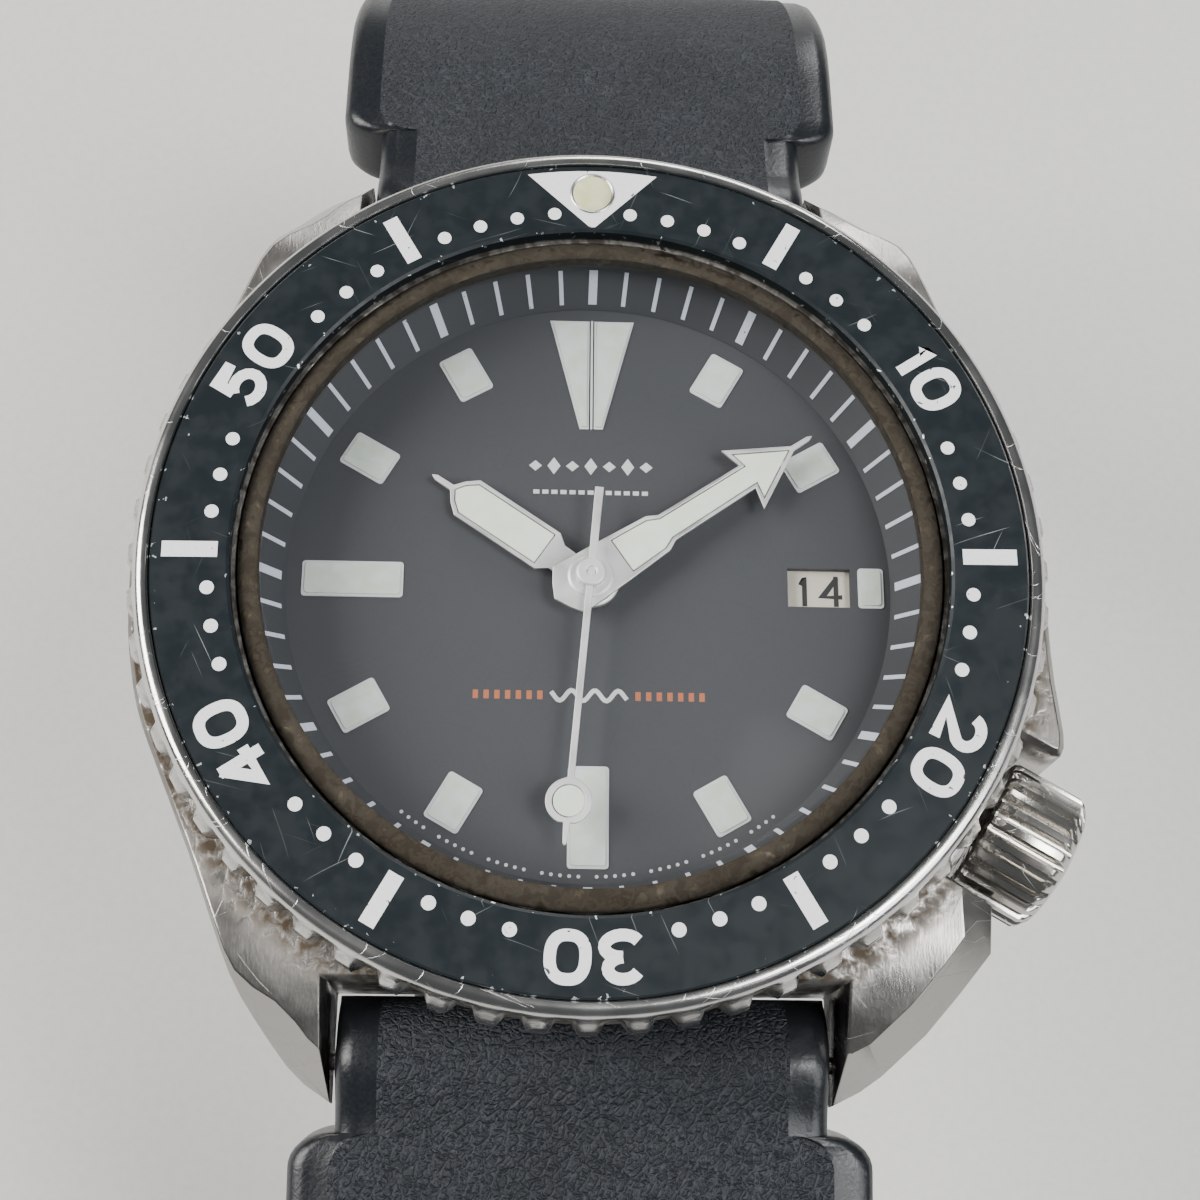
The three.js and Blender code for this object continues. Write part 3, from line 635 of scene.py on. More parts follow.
@dataclass(frozen=True)
class Lume(Finish):
    """Luminous paint: grainy, a little uneven and darker in blotches with age."""

    aged: float = 0.15

    def dress(self, graph: Graph) -> None:
        """Grain and blotches."""
        blotch = graph.noise(1.4, 5.0)
        losses = (self.aged, self.aged, 2 * self.aged)
        old = tuple(channel * (1 - loss) for channel, loss in zip(self.colour, losses))
        graph.base(graph.blend(graph.band(blotch, 0.3, 0.7), old, self.colour))
        graph.relief(graph.noise(14.0, 3.0), 0.35, 0.03)
        graph.relief(blotch, 0.2, 0.05)


@dataclass(frozen=True)
class Rubber(Finish):
    """Moulded rubber: a fine leathery grain with a painted pale sheen on its tops, or smooth where grain is
    0.
    """

    grain: float = 1.0
    nicks: float = 0.3

    def dress(self, graph: Graph) -> None:
        """Worm-like grain, a painted pale sheen on its tops, and small pits."""
        wander = graph.noise(1.3, 2.0)
        spot = graph.vector("ADD", graph.mm, graph.joined(wander, wander, wander))
        creases = graph.cells(2.5, spot, "DISTANCE_TO_EDGE")
        tops = graph.band(creases, 0.02, 0.22)
        fine = graph.noise(6.5, 5.0, warp=0.6)
        height = graph.times(tops, fine)
        # painted sheen: the grain's high points get a paler colour, in patches, in place of light catching
        # them
        dull = tuple(min(1.0, c * 2.6 + 0.014) for c in self.colour)
        patches = graph.band(graph.noise(0.22, 3.0), 0.2, 0.8, (0.35, 1.0))
        painted_sheen = graph.times(graph.band(fine, 0.4, 0.65), patches)
        share = graph.times(painted_sheen, 0.75 * self.grain + 0.1)
        graph.base(graph.blend(share, self.colour, dull))
        span = (self.roughness * 0.85, self.roughness * 1.15)
        graph.rough(graph.band(fine, 0.3, 0.7, span))
        graph.put(graph.shader.inputs["Specular IOR Level"], 0.42)
        graph.relief(height, 0.85 * self.grain + 0.05, 0.22)
        pits = graph.band(graph.cells(0.16), 0.0, 0.05 * self.nicks + 0.01, (1.0, 0.0))
        graph.relief(pits, 0.5, 0.25)


@dataclass(frozen=True)
class ClearGlass(Finish):
    """Clear mineral glass with a faint haze of hairline scratches."""

    haze: float = 0.007
    most: float = 0.06

    def dress(self, graph: Graph) -> None:
        """Lets light straight through and mirrors it at a glance."""
        graph.put(graph.shader.inputs["Specular IOR Level"], 0.5)
        clear = graph.node("ShaderNodeBsdfTransparent")
        mix = graph.node("ShaderNodeMixShader")
        glance = graph.node("ShaderNodeFresnel")
        graph.put(glance.inputs["IOR"], 1.45)
        hairs = graph.times(graph.scratches(0.2), 0.05)
        smear = graph.band(graph.noise(0.16, 4.0), 0.4, 0.75, (self.haze * 0.4, self.haze))
        mirrored_share = graph.sum("MINIMUM", glance.outputs[0], self.most)
        share = graph.sum("ADD", graph.sum("ADD", mirrored_share, hairs), smear, clamp=True)
        graph.put(mix.inputs[0], share)
        graph.put(mix.inputs[1], clear.outputs[0])
        graph.put(mix.inputs[2], graph.shader.outputs[0])
        graph.put(graph.tree.nodes["Material Output"].inputs["Surface"], mix.outputs[0])
        graph.relief(graph.noise(2.0, 2.0), 0.02, 0.02)


STEEL = (0.60, 0.585, 0.555)
CASE_TOP = Metal(
    "case_brushed_steel", "case_steel", (0.50, 0.475, 0.445), 0.31, Brush.ALONG_Y, 0.5,
    dirt=1.0, dirt_from=(20.5, 22.0),
)
CASE_SIDE = Metal(
    "case_polished_steel", "case_steel", (0.42, 0.405, 0.38), 0.24, scratched=0.6,
    dirt=1.7, dirt_from=(20.2, 21.4), dirt_colour=(0.03, 0.024, 0.018),
)
BEZEL = Metal(
    "bezel_worn_steel", "bezel_steel", (0.68, 0.67, 0.645), 0.2, scratched=0.8,
    dirt=1.2, dirt_from=(19.75, 20.4), dirt_below=(11.2, 12.1),
)
BACK = Metal("case_back_steel", "back_steel", STEEL, 0.3, Brush.ROUND, 0.6)
CROWN = Metal("crown_steel", "crown_steel", (0.63, 0.61, 0.57), 0.22, Brush.NONE, 0.5, 0.35, (20.0, 22.6))
BUCKLE = Metal("buckle_steel", "buckle_steel", (0.61, 0.60, 0.57), 0.27, Brush.ALONG_X, 0.7)
PIN = Metal("pin_steel", "pin_steel", (0.56, 0.55, 0.53), 0.28, Brush.ALONG_Y, 0.2)
RETAINER = Metal(
    "crystal_retainer_steel", "retainer_steel", (0.10, 0.085, 0.064), 0.6, scratched=0.3,
    dirt=1.1, dirt_from=(30.0, 31.0), dirt_colour=(0.03, 0.023, 0.015),
)
HAND = Metal("hand_silver", "hand_steel", (0.92, 0.92, 0.91), 0.5, Brush.NONE, 0.2)
NICKEL = Metal("movement_nickel", "movement_nickel", (0.66, 0.64, 0.59), 0.3, Brush.ALONG_X, 0.1)
GILT = Metal("movement_gilt", "movement_brass", (0.74, 0.60, 0.32), 0.28, Brush.ROUND, 0.1)
TEMPERED = Metal("movement_steel", "movement_steel", (0.55, 0.55, 0.57), 0.2, Brush.ROUND, 0.1)
INSERT = Anodised("insert_black", "insert_aluminium", (0.009, 0.0125, 0.0145), 0.4)
PRINT = Paint("insert_white_print", "insert_aluminium", (0.93, 0.94, 0.93), 0.5, chipped=0.35)
DIAL = Paint("dial_charcoal", "dial_black", (0.055, 0.058, 0.064), 0.62, speckled=0.12)
CHAPTER = Paint("chapter_black", "chapter_black", (0.052, 0.055, 0.06), 0.55)
TICK = Paint("minute_print", "chapter_black", (0.70, 0.74, 0.84), 0.5, chipped=0.25)
DIAL_PRINT = Paint("dial_white_print", "dial_black", (0.72, 0.74, 0.74), 0.5)
DIAL_ORANGE = Paint("dial_orange_print", "dial_black", (0.50, 0.16, 0.07), 0.55)
DATE = Paint("date_cream", "date_paint", (0.72, 0.66, 0.56), 0.55)
DATE_INK = Paint("date_ink", "date_paint", (0.03, 0.03, 0.03), 0.5)
PLOT = Lume("dial_lume", "lume", (0.68, 0.75, 0.71), 0.7, aged=0.1)
HAND_LUME = Lume("hand_lume", "lume", (0.88, 0.96, 0.85), 0.7, aged=0.06)
PEARL = Lume("bezel_lume", "lume", (0.72, 0.71, 0.45), 0.45, aged=0.14)
GRAINED = Rubber("strap_grained_rubber", "strap_rubber", (0.010, 0.012, 0.0155), 0.6)
SMOOTH = Rubber("strap_smooth_rubber", "strap_rubber", (0.009, 0.0105, 0.013), 0.33, grain=0.0)
SEAL = Rubber("seal_rubber", "seal_rubber", (0.02, 0.02, 0.02), 0.5, grain=0.1)
NYLON = Finish("spacer_nylon", "spacer_nylon", (0.78, 0.77, 0.72), 0.5)
GLASS = ClearGlass("crystal_glass", "crystal_glass", (0.06, 0.065, 0.07), 0.12)


# ------------------------------------------------------------------ pieces
def piece(
    shape: Shape,
    name: str,
    finish: Finish,
    body: str,
    nodes: Sequence[str] = (),
    rounding: float = 0.0,
    smooth: float = 35.0,
    second: Finish | None = None,
    cutters: Sequence[Shape] = (),
) -> bpy.types.Object:
    """Makes a shape into a piece that rides on a CAD body.

    Args:
        shape: The mesh, in millimetres.
        name: The piece's name.
        finish: What it is made of.
        body: The CAD body it moves with.
        nodes: The CAD nodes it stands for.
        rounding: Radius of its softened edges, in millimetres.
        smooth: Edges that bend by less than this many degrees are shaded smooth.
        second: The finish of the faces with tone 1.
        cutters: Solids cut out of it.

    Returns:
        The piece's object.
    """
    mesh = mesh_of(shape, name)
    made = bpy.data.objects.new(name, mesh)
    bpy.context.scene.collection.objects.link(made)
    for material in (finish, second or finish):
        mesh.materials.append(material.material())
    if cutters:
        carve(made, cutters)
    made.data.shade_smooth()
    made.data.set_sharp_from_angle(angle=math.radians(smooth))
    if rounding:
        edge = made.modifiers.new("edge", "BEVEL")
        edge.width = rounding * MM
        edge.segments = 2
        edge.limit_method = "ANGLE"
        edge.angle_limit = math.radians(smooth)
        edge.harden_normals = True
    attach(made, body)
    if nodes:
        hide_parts(*nodes)
    return made


def mesh_of(shape: Shape, name: str) -> bpy.types.Mesh:
    """A shape as a Blender mesh in metres, with its doubles merged and its faces turned out."""
    mesh = bpy.data.meshes.new(name)
    mesh.from_pydata([point * MM for point in shape.points], [], shape.faces)
    mesh.polygons.foreach_set("material_index", shape.tones)
    work = bmesh.new()
    work.from_mesh(mesh)
    bmesh.ops.remove_doubles(work, verts=work.verts, dist=1e-6)
    bmesh.ops.recalc_face_normals(work, faces=work.faces)
    work.to_mesh(mesh)
    work.free()
    return mesh


def carve(made: bpy.types.Object, cutters: Sequence[Shape]) -> None:
    """Cuts solids out of an object and keeps the result as its mesh."""
    tools = []
    for i, cutter in enumerate(cutters):
        tool = bpy.data.objects.new(f"cutter_{i}", mesh_of(cutter, f"cutter_{i}"))
        bpy.context.scene.collection.objects.link(tool)
        tools.append(tool)
        change = made.modifiers.new("cut", "BOOLEAN")
        change.operation = "DIFFERENCE"
        change.solver = "EXACT"
        change.object = tool
    bpy.context.view_layer.update()
    cut = bpy.data.meshes.new_from_object(made.evaluated_get(bpy.context.evaluated_depsgraph_get()))
    made.modifiers.clear()
    made.data = cut
    for tool in tools:
        bpy.data.objects.remove(tool)


def paint_node(name: str, finish: Finish) -> None:
    """Gives a CAD node that shows as it is a finish of its own."""
    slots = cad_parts[name].data.materials
    slots.clear()
    slots.append(finish.material())


def between(table: Sequence[Point2], value: float) -> float:
    """Reads a table of rising (input, output) pairs, with straight lines between them."""
    if value <= table[0][0]:
        return table[0][1]
    for (x0, y0), (x1, y1) in zip(table, table[1:]):
        if value <= x1:
            return y0 + (y1 - y0) * (value - x0) / (x1 - x0)
    return table[-1][1]


def rectangle(low: Point2, high: Point2) -> list[Point2]:
    """A rectangle between two corners, anticlockwise."""
    return [low, (high[0], low[1]), high, (low[0], high[1])]


def rounded(half_x: float, half_y: float, radius: float, steps: int = 4) -> list[Point2]:
    """A rectangle about the origin with rounded corners."""
    x, y = half_x - radius, half_y - radius
    corners = (((x, y), 0), ((-x, y), 90), ((-x, -y), 180), ((x, -y), 270))
    return [p for centre, start in corners for p in arc(centre, (radius, radius), start, start + 90, steps)]


GLYPHS: dict[str, list[list[Point2]]] = {
    "0": [[(math.copysign(abs(x) ** 0.8, x), math.copysign(abs(y) ** 0.8, y)) for x, y in circle(1.0, 36)]],
    "1": [[(-0.75, 0.42), (0.1, 1.0), (0.1, -1.12)]],
    "2": [arc((0, 0.38), (0.92, 0.62), 172, -38) + [(-0.95, -1.0), (1.08, -1.0)]],
    "3": [arc((-0.08, 0.5), (0.88, 0.5), 155, -90), arc((-0.08, -0.5), (1.0, 0.5), 90, -158)],
    "4": [[(0.5, -1.12), (0.5, 1.1)], [(0.62, 1.0), (-0.95, -0.42), (1.15, -0.42)]],
    "5": [[(0.9, 1.0), (-0.62, 1.0), (-0.72, 0.1)], arc((0, -0.34), (0.95, 0.66), 140, -152)],
    "6": [arc((0, -0.4), (0.92, 0.6), 150, 510, 24) + [(-0.55, 0.55), (0.3, 1.1)]],
    "7": [[(-0.95, 1.0), (0.9, 1.0), (-0.25, -1.12)]],
    "8": [arc((0, 0.5), (0.78, 0.48), 270, 630, 20), arc((0, -0.5), (0.95, 0.5), 90, 450, 20)],
    "9": [arc((0, 0.4), (0.92, 0.6), -30, 330, 24) + [(0.55, -0.55), (-0.3, -1.1)]],
}


def glyph(digit: str, half: Point2, stroke: float, low: float, high: float) -> Shape:
    """A digit about the origin.

    Args:
        digit: One of the keys of GLYPHS.
        half: Half the width and height of its middle line.
        stroke: Width of its line.
        low: Height of its underside.
        high: Height of its top.

    Returns:
        The digit's shape.
    """
    shape = Shape()
    for i, line in enumerate(GLYPHS[digit]):
        spots = [(x * half[0], y * half[1]) for x, y in line]
        shape.add(Shape().ribbon(spots, stroke, low, high - 0.006 * i, digit == "0"))
    return shape


# ------------------------------------------------------------------ case
@dataclass
class Case:
    """The case's middle with its lugs, crown guards and bezel neck, and the screwed back."""

    slot_half: float = 11.1
    slot_wall: float = 17.9
    tip_y: float = 22.8
    deck: float = 8.7
    narrow_facet: float = 0.2
    wide_facet: float = 1.5
    steps: int = 96
    body: str = "watch_case"
    flank: tuple[Point2, ...] = (
        (0.0, 20.8), (3.0, 20.65), (6.35, 20.0), (9.9, 18.45), (13.2, 17.0),
        (16.3, 15.8), (18.4, 15.0), (19.5, 14.3), (20.6, 13.5),
    )
    lower_guard: tuple[Point2, ...] = (
        (12.4, -22.15), (13.3, -21.5), (15.1, -19.8), (16.5, -18.1), (17.85, -16.4), (17.8, -14.43),
    )
    pocket: tuple[Point2, ...] = ((15.43, -13.07), (19.03, -6.83))
    upper_guard: tuple[Point2, ...] = (
        (20.7, -7.79), (21.12, -7.85), (21.33, -7.4), (21.36, -6.8), (21.25, -5.6),
        (21.12, -4.4), (21.04, -3.0), (21.0, -1.2), (20.9, 0.3),
    )
    under: tuple[Point2, ...] = ((14.5, 1.6), (15.5, 2.1), (19.5, 1.1), (22.0, 1.3), (22.8, 1.9))

    def build(self) -> list[bpy.types.Object]:
        """Makes the middle and the back."""
        middle = piece(self.middle(), "case_middle", CASE_SIDE, self.body, ["case_body"], 0.1, 28, CASE_TOP)
        back = piece(self.back(), "screwed_case_back", BACK, self.body, ["case_back"], 0.06, 30)
        return [middle, back]

    def flank_x(self, y: float) -> float:
        """How far out the flank is at y."""
        return sum(between(self.flank, abs(y + offset)) for offset in (-1.0, -0.5, 0.0, 0.5, 1.0)) / 5

    def facet_at(self, y: float) -> float:
        """Width of the polished facet along the flank."""
        return self.narrow_facet + (self.wide_facet - self.narrow_facet) * smoothstep(abs(y), 17.0, 19.8)

    def corners(self) -> list[tuple[float, float, float]]:
        """The outline anticlockwise from the lower right lug's tip: x, y and the next edge's facet."""
        side = [(self.slot_half, -self.tip_y, self.wide_facet)]
        side += [(x, y, self.wide_facet) for x, y in self.lower_guard[:-1]] + [(*self.lower_guard[-1], 0.15)]
        side += [(*self.pocket[0], 0.15), (*self.pocket[1], 0.3)]
        side += [(x, y, 0.3) for x, y in self.upper_guard]
        rows = [1.6 + 17.9 * i / 22 for i in range(23)]
        side += [(self.flank_x(y), y, self.facet_at(y)) for y in rows]
        tip = [(13.6, 20.5), (13.0, 21.3), (12.3, 22.0)]
        side += [(x, y, self.wide_facet) for x, y in tip]
        side += [(self.slot_half, self.tip_y, 0.3), (self.slot_half, self.slot_wall, 0.15)]
        other = [(-self.slot_half, self.slot_wall, 0.3), (-self.slot_half, self.tip_y, self.wide_facet)]
        other += [(-x, y, self.wide_facet) for x, y in reversed(tip)]
        rows = [19.5 - 39.0 * i / 44 for i in range(45)]
        other += [(-self.flank_x(y), y, self.facet_at(y)) for y in rows]
        other += [(-x, -y, self.wide_facet) for x, y in tip]
        other += [(-self.slot_half, -self.tip_y, 0.3), (-self.slot_half, -self.slot_wall, 0.15)]
        return side + other + [(self.slot_half, -self.slot_wall, 0.3)]

    def top_z(self, x: float, y: float) -> float:
        """Height of the deck, which falls away along the lugs."""
        return self.deck - 0.067 * max(0.0, abs(y) - 15.0) ** 2

    def under_z(self, x: float, y: float) -> float:
        """Height of the underside."""
        return between(self.under, abs(y))

    def held(self, points: Sequence[Point2], x_least: float, y_most: float) -> list[Point2]:
        """Keeps the narrow lug tips from folding over when their outline is inset."""
        kept = []
        for x, y in points:
            if abs(y) > self.slot_wall + 0.1:
                x = math.copysign(max(abs(x), x_least), x)
                y = math.copysign(min(abs(y), y_most), y)
            kept.append((x, y))
        return kept

    def middle(self) -> Shape:
        """Side walls, facet, deck, neck, bores and underside."""
        corners = self.corners()
        outline = [(x, y) for x, y, _ in corners]
        facets = [facet for _, _, facet in corners]
        falls = [0.55 * (facets[i - 1] + facets[i]) for i in range(len(facets))]
        top = self.held(inset(outline, facets), self.slot_half + 0.3, 20.7)
        bottom = self.held(inset(outline, [min(0.6, facet) for facet in facets]), self.slot_half + 0.2, 22.0)
        shape = Shape()
        shape.tone = 1
        deck, neck = shape.sheet([top, circle(17.5, self.steps)], self.top_z, 1.8)
        shape.tone = 0
        base, mouth = shape.sheet([bottom, circle(16.6, self.steps)], self.under_z, 2.5)
        low = shape.ring((x, y, self.under_z(x, y) + 0.7) for x, y in outline)
        high = shape.ring((x, y, self.top_z(x, y) - fall) for (x, y), fall in zip(outline, falls))
        for first, second in ((base, low), (low, high), (high, deck)):
            shape.bridge(first, second)
        bore = (
            (17.5, 11.4), (17.4, 11.5), (15.6, 11.5), (15.6, 7.75), (14.6, 7.75), (14.6, 3.9), (16.6, 3.9),
        )
        last = neck
        for radius, z in bore:
            ring = shape.ring((x, y, z) for x, y in circle(radius, self.steps))
            shape.bridge(last, ring)
            last = ring
        shape.bridge(last, mouth)
        return shape

    def back(self) -> Shape:
        """A stepped disc with six key notches in its sloped rim."""
        profile = [
            (0, 0.12), (11.0, 0.12), (11.12, 0.0), (12.9, 0.0), (13.05, 0.08), (14.15, 0.36), (14.25, 0.4),
            (15.4, 0.72), (16.05, 1.25), (16.2, 1.5), (16.2, 3.6), (15.2, 3.6), (15.2, 2.5), (0, 2.5),
        ]

        def notch(row: int, angle: float) -> Point2:
            """Raises the rim inside each notch."""
            offset = (math.degrees(angle) - 30 + 30) % 60 - 30
            deep = 6 <= row <= 8 and abs(offset) * math.radians(1) * 15.4 < 1.2
            return 0.0, (1.2 - profile[row][1]) if deep else 0.0

        return Shape().lathe(profile, 240, notch)


# ------------------------------------------------------------------ crystal and bezel
@dataclass
class Crystal:
    """The flat glass and the stained ring that holds it down."""

    radius: float = 14.5
    top: float = 12.2
    foot: float = 10.35
    body: str = "watch_case"

    def build(self) -> list[bpy.types.Object]:
        """Makes the glass and its ring."""
        glass = [
            (0, self.foot), (15.0, self.foot), (15.1, self.foot + 0.1), (15.1, 11.2), (self.radius, 11.2),
            (self.radius, self.top - 0.1), (self.radius - 0.03, self.top - 0.03),
            (self.radius - 0.1, self.top), (0, self.top),
        ]
        ring = [
            (self.radius + 0.08, 11.25), (15.5, 11.25), (15.5, 11.62), (15.42, 11.72), (15.1, 11.92),
            (14.72, 12.02), (self.radius + 0.08, 11.95),
        ]
        return [
            piece(Shape().lathe(glass, 160), "crystal_glass", GLASS, self.body, ["crystal"], 0.0, 30),
            piece(
                Shape().lathe(ring, 160), "crystal_ring", RETAINER, self.body, ["crystal_retainer"], 0.0, 50
            ),
        ]


@dataclass
class Bezel:
    """The turning ring with its coin edge, the insert, the insert's marks and the lume pip."""

    teeth: int = 60
    land: float = 0.56
    notch: float = 0.55
    insert_top: float = 12.38
    print_top: float = 12.395
    pip_y: float = 17.7
    turned: float = 0.56
    dotted: float = 16.7
    dot_radius: float = 0.31
    bar_half: float = 0.36
    bar_span: Point2 = (16.25, 18.65)
    figures_at: float = 17.48
    figure_half: Point2 = (0.73, 0.9)
    figure_stroke: float = 0.5
    triangle_half: float = 3.0
    triangle_top: float = 18.88
    triangle_foot: float = 15.95
    profile: tuple[Point2, ...] = (
        (17.9, 9.0), (19.3, 9.0), (19.9, 9.12), (20.3, 9.45), (20.4, 9.8), (20.4, 10.9), (20.3, 11.25),
        (20.12, 11.5), (20.02, 11.72), (19.95, 12.0), (19.84, 12.25), (19.66, 12.43), (19.48, 12.5),
        (19.3, 12.48),
        (19.22, 12.38), (19.22, 11.65), (17.9, 11.65),
    )
    body: str = "bezel"

    def build(self) -> list[bpy.types.Object]:
        """Makes the ring, the insert, the marks and the pip."""
        turn = turn_about("Z", self.turned)
        ring = Shape().lathe(self.profile, self.teeth * 12, self.grip)
        insert = [
            (15.75, 11.7), (19.17, 11.7), (19.17, 12.3), (19.08, self.insert_top),
            (15.88, self.insert_top), (15.75, 12.28),
        ]
        return [
            piece(ring, "coin_edge_ring", BEZEL, self.body, ["bezel_ring"], 0.0, 40),
            piece(Shape().lathe(insert, 180), "timing_insert", INSERT, self.body, ["bezel_insert"], 0.0, 30),
            piece(self.marks().moved(turn), "timing_marks", PRINT, self.body, (), 0.0, 30),
            piece(self.pip_rim().moved(turn), "pip_rim", PIN, self.body, (), 0.0, 40),
            piece(self.pip().moved(turn), "lume_pip", PEARL, self.body, ["bezel_lume_pip"], 0.0, 50),
        ]

    def grip(self, row: int, angle: float) -> Point2:
        """Cuts the notches between the teeth, deepest at mid height and fading into the polished rim."""
        depth = {2: 0.25, 3: 0.8, 4: 1.0, 5: 1.0, 6: 0.85, 7: 0.55, 8: 0.2}.get(row, 0.0) * self.notch
        share = (angle / math.tau * self.teeth) % 1.0
        edge = min(abs(share - 0.5), 1.0) * 2
        gap = 1.0 - smoothstep(edge, 1.0 - self.land - 0.12, 1.0 - self.land + 0.2)
        return -depth * gap, 0.0

    def marks(self) -> Shape:
        """Dots, bars, numerals and the triangle, as thin printed plates."""
        low, high = self.insert_top - 0.05, self.print_top
        shape = Shape()
        for minute in range(1, 60):
            turn = clockwise(minute * 6)
            if minute % 10 == 0:
                shape.add(self.number(minute, low, high))
            elif minute % 5 == 0:
                corners = rectangle((-self.bar_half, self.bar_span[0]), (self.bar_half, self.bar_span[1]))
                bar = Shape().plate([corners], low, high)
                shape.add(bar.moved(turn))
            elif not (minute % 10 in (1, 9) and minute not in (1, 59)):
                dot = Shape().plate([circle(self.dot_radius, 18, (0, self.dotted))], low, high)
                shape.add(dot.moved(turn))
        wide = math.degrees(math.asin(self.triangle_half / self.triangle_top))
        base = arc((0, 0), (self.triangle_top, self.triangle_top), 90 - wide, 90 + wide, 8)
        tip = [(-0.12, self.triangle_foot), (0.12, self.triangle_foot)]
        hole = circle(0.9, 24, (0, self.pip_y))
        return shape.add(Shape().plate([base + tip, hole], low, high))

    def number(self, minute: int, low: float, high: float) -> Shape:
        """A two-figure numeral with its top outwards, each figure square to its own radius."""
        shape = Shape()
        tens, ones = str(minute)
        thin = tens == "1"
        for digit, offset in ((tens, -2.7 if thin else -3.6), (ones, 2.6 if thin else 3.6)):
            half = (0.36, self.figure_half[1]) if digit == "1" else self.figure_half
            figure = glyph(digit, half, self.figure_stroke, low, high)
            spot = clockwise(minute * 6 + offset) @ shift(0, self.figures_at, 0)
            shape.add(figure.moved(spot))
        return shape

    def pip_rim(self) -> Shape:
        """The metal cup round the pip."""
        z = self.insert_top
        cup = [(0.88, z - 0.3), (1.04, z - 0.3), (1.04, z + 0.03), (0.98, z + 0.07), (0.9, z + 0.03)]
        return Shape().lathe(cup, 32).moved(shift(0, self.pip_y, 0))

    def pip(self) -> Shape:
        """The domed pip."""
        z = self.insert_top
        dome = [
            (0, z - 0.5), (0.92, z - 0.5), (0.92, z), (0.84, z + 0.06), (0.6, z + 0.12), (0.3, z + 0.15),
            (0, z + 0.16),
        ]
        return Shape().lathe(dome, 32).moved(shift(0, self.pip_y, 0))


# ------------------------------------------------------------------ dial
@dataclass
class Dial:
    """Dial plate, minute ring, hour plots, printed ornaments and the date ring under the window."""

    radius: float = 14.4
    bottom: float = 7.85
    top: float = 8.2
    window: tuple[float, float, float] = (10.53, 2.9, 1.85)
    plot_at: float = 11.84
    cone: tuple[Point2, Point2] = ((13.8, 8.25), (15.2, 10.25))
    today: int = 14
    body: str = "watch_case"

    def build(self) -> list[bpy.types.Object]:
        """Makes every piece in view under the glass but the hands."""
        x, wide, tall = self.window
        hole = rectangle((x - wide / 2, -tall / 2), (x + wide / 2, tall / 2))
        plate = Shape().plate([circle(self.radius, 120), circle(1.15, 24), hole], self.bottom, self.top)
        ring = [self.cone[0], (15.5, 8.25), (15.5, 10.25), self.cone[1], (15.1, 10.11), (13.86, 8.34)]
        return [
            piece(plate, "dial_plate", DIAL, self.body, ["dial"], 0.0, 30),
            piece(Shape().lathe(ring, 180), "minute_ring", CHAPTER, self.body, ["chapter_ring"], 0.0, 30),
            piece(self.ticks(), "minute_ticks", TICK, self.body),
            piece(self.plots(0.0, 0.13), "hour_plots", PLOT, self.body, (), 0.03),
            piece(self.plots(0.13, 0.06), "plot_borders", DIAL_PRINT, self.body),
            piece(self.white_print(), "dial_ornament_white", DIAL_PRINT, self.body),
            piece(self.orange_print(), "dial_ornament_orange", DIAL_ORANGE, self.body),
            piece(self.date_disc(), "date_disc", DATE, "date", ["date_ring"], 0.0, 30),
            piece(self.date_figures(), "date_figures", DATE_INK, "date"),
        ]

    def ticks(self) -> Shape:
        """Sixty strokes on the cone, wider every five minutes."""
        (r0, z0), (r1, z1) = self.cone
        shape = Shape()
        lift = 0.025
        for minute in range(60):
            half = 0.2 if minute % 5 == 0 else 0.1
            ends = []
            for r in (13.98, 15.02):
                z = z0 + (r - r0) * (z1 - z0) / (r1 - r0)
                foot = [(-half, r, z - lift), (half, r, z - lift)]
                ends.append(foot + [(half, r - lift, z + lift), (-half, r - lift, z + lift)])
            shape.add(Shape().loft(ends).moved(clockwise(minute * 6)))
        return shape

    def plots(self, grow: float, thick: float) -> Shape:
        """The hour plots.

        Args:
            grow: How far their outline is moved out.
            thick: How far they stand off the dial.

        Returns:
            All the plots in one shape.
        """
        low, high = self.top - 0.02, self.top + thick
        shape = Shape()
        sizes = {hour: (1.7, 2.3, self.plot_at) for hour in (1, 2, 4, 5, 7, 8, 10, 11)}
        sizes |= {3: (1.9, 1.16, 12.9), 6: (1.8, 4.54, 10.83), 9: (1.67, 4.57, 10.79)}
        for hour, (wide, tall, middle) in sizes.items():
            outline = rounded(wide / 2 - 0.12 + grow, tall / 2 - 0.12 + grow, 0.16)
            spot = clockwise(hour * 30) @ shift(0, middle, 0)
            shape.add(Shape().plate([outline], low, high).moved(spot))
        for side in (1, -1):
            corners = [(0.22, 7.72), (0.46, 7.72), (1.86, 13.08), (0.22, 13.08)]
            ring = [(side * x, y) for x, y in corners][:: side]
            shape.add(Shape().plate([inset(ring, [-grow * 0.8] * 4)], low, high))
        return shape

    def white_print(self) -> Shape:
        """The twelve's middle line, and rows of lozenges and strokes where a maker would put words."""
        low, high = self.top - 0.02, self.top + 0.012
        shape = Shape().plate([rectangle((-0.05, 7.6), (0.05, 13.2))], low, high + 0.08)
        for i in range(-3, 4):
            tall = 0.42 if i % 2 == 0 else 0.26
            x, y = i * 0.86, 5.75
            lozenge = [(x + 0.3, y), (x, y + tall), (x - 0.3, y), (x, y - tall)]
            shape.add(Shape().plate([lozenge], low, high))
        for i in range(-6, 7):
            dash = rectangle((i * 0.42 - 0.14, 4.35), (i * 0.42 + 0.14, 4.55))
            shape.add(Shape().plate([dash], low, high))
        waves = [(x * 0.1, -5.3 + 0.24 * math.sin(x * 0.1 * math.tau / 1.05)) for x in range(-17, 18)]
        shape.add(Shape().ribbon(waves, 0.2, low, high))
        for i in range(-22, 23):
            if i % 6:
                dot = Shape().plate([circle(0.085, 8, (0, -13.45))], low, high)
                shape.add(dot.moved(turn_about("Z", i * 1.7)))
        return shape

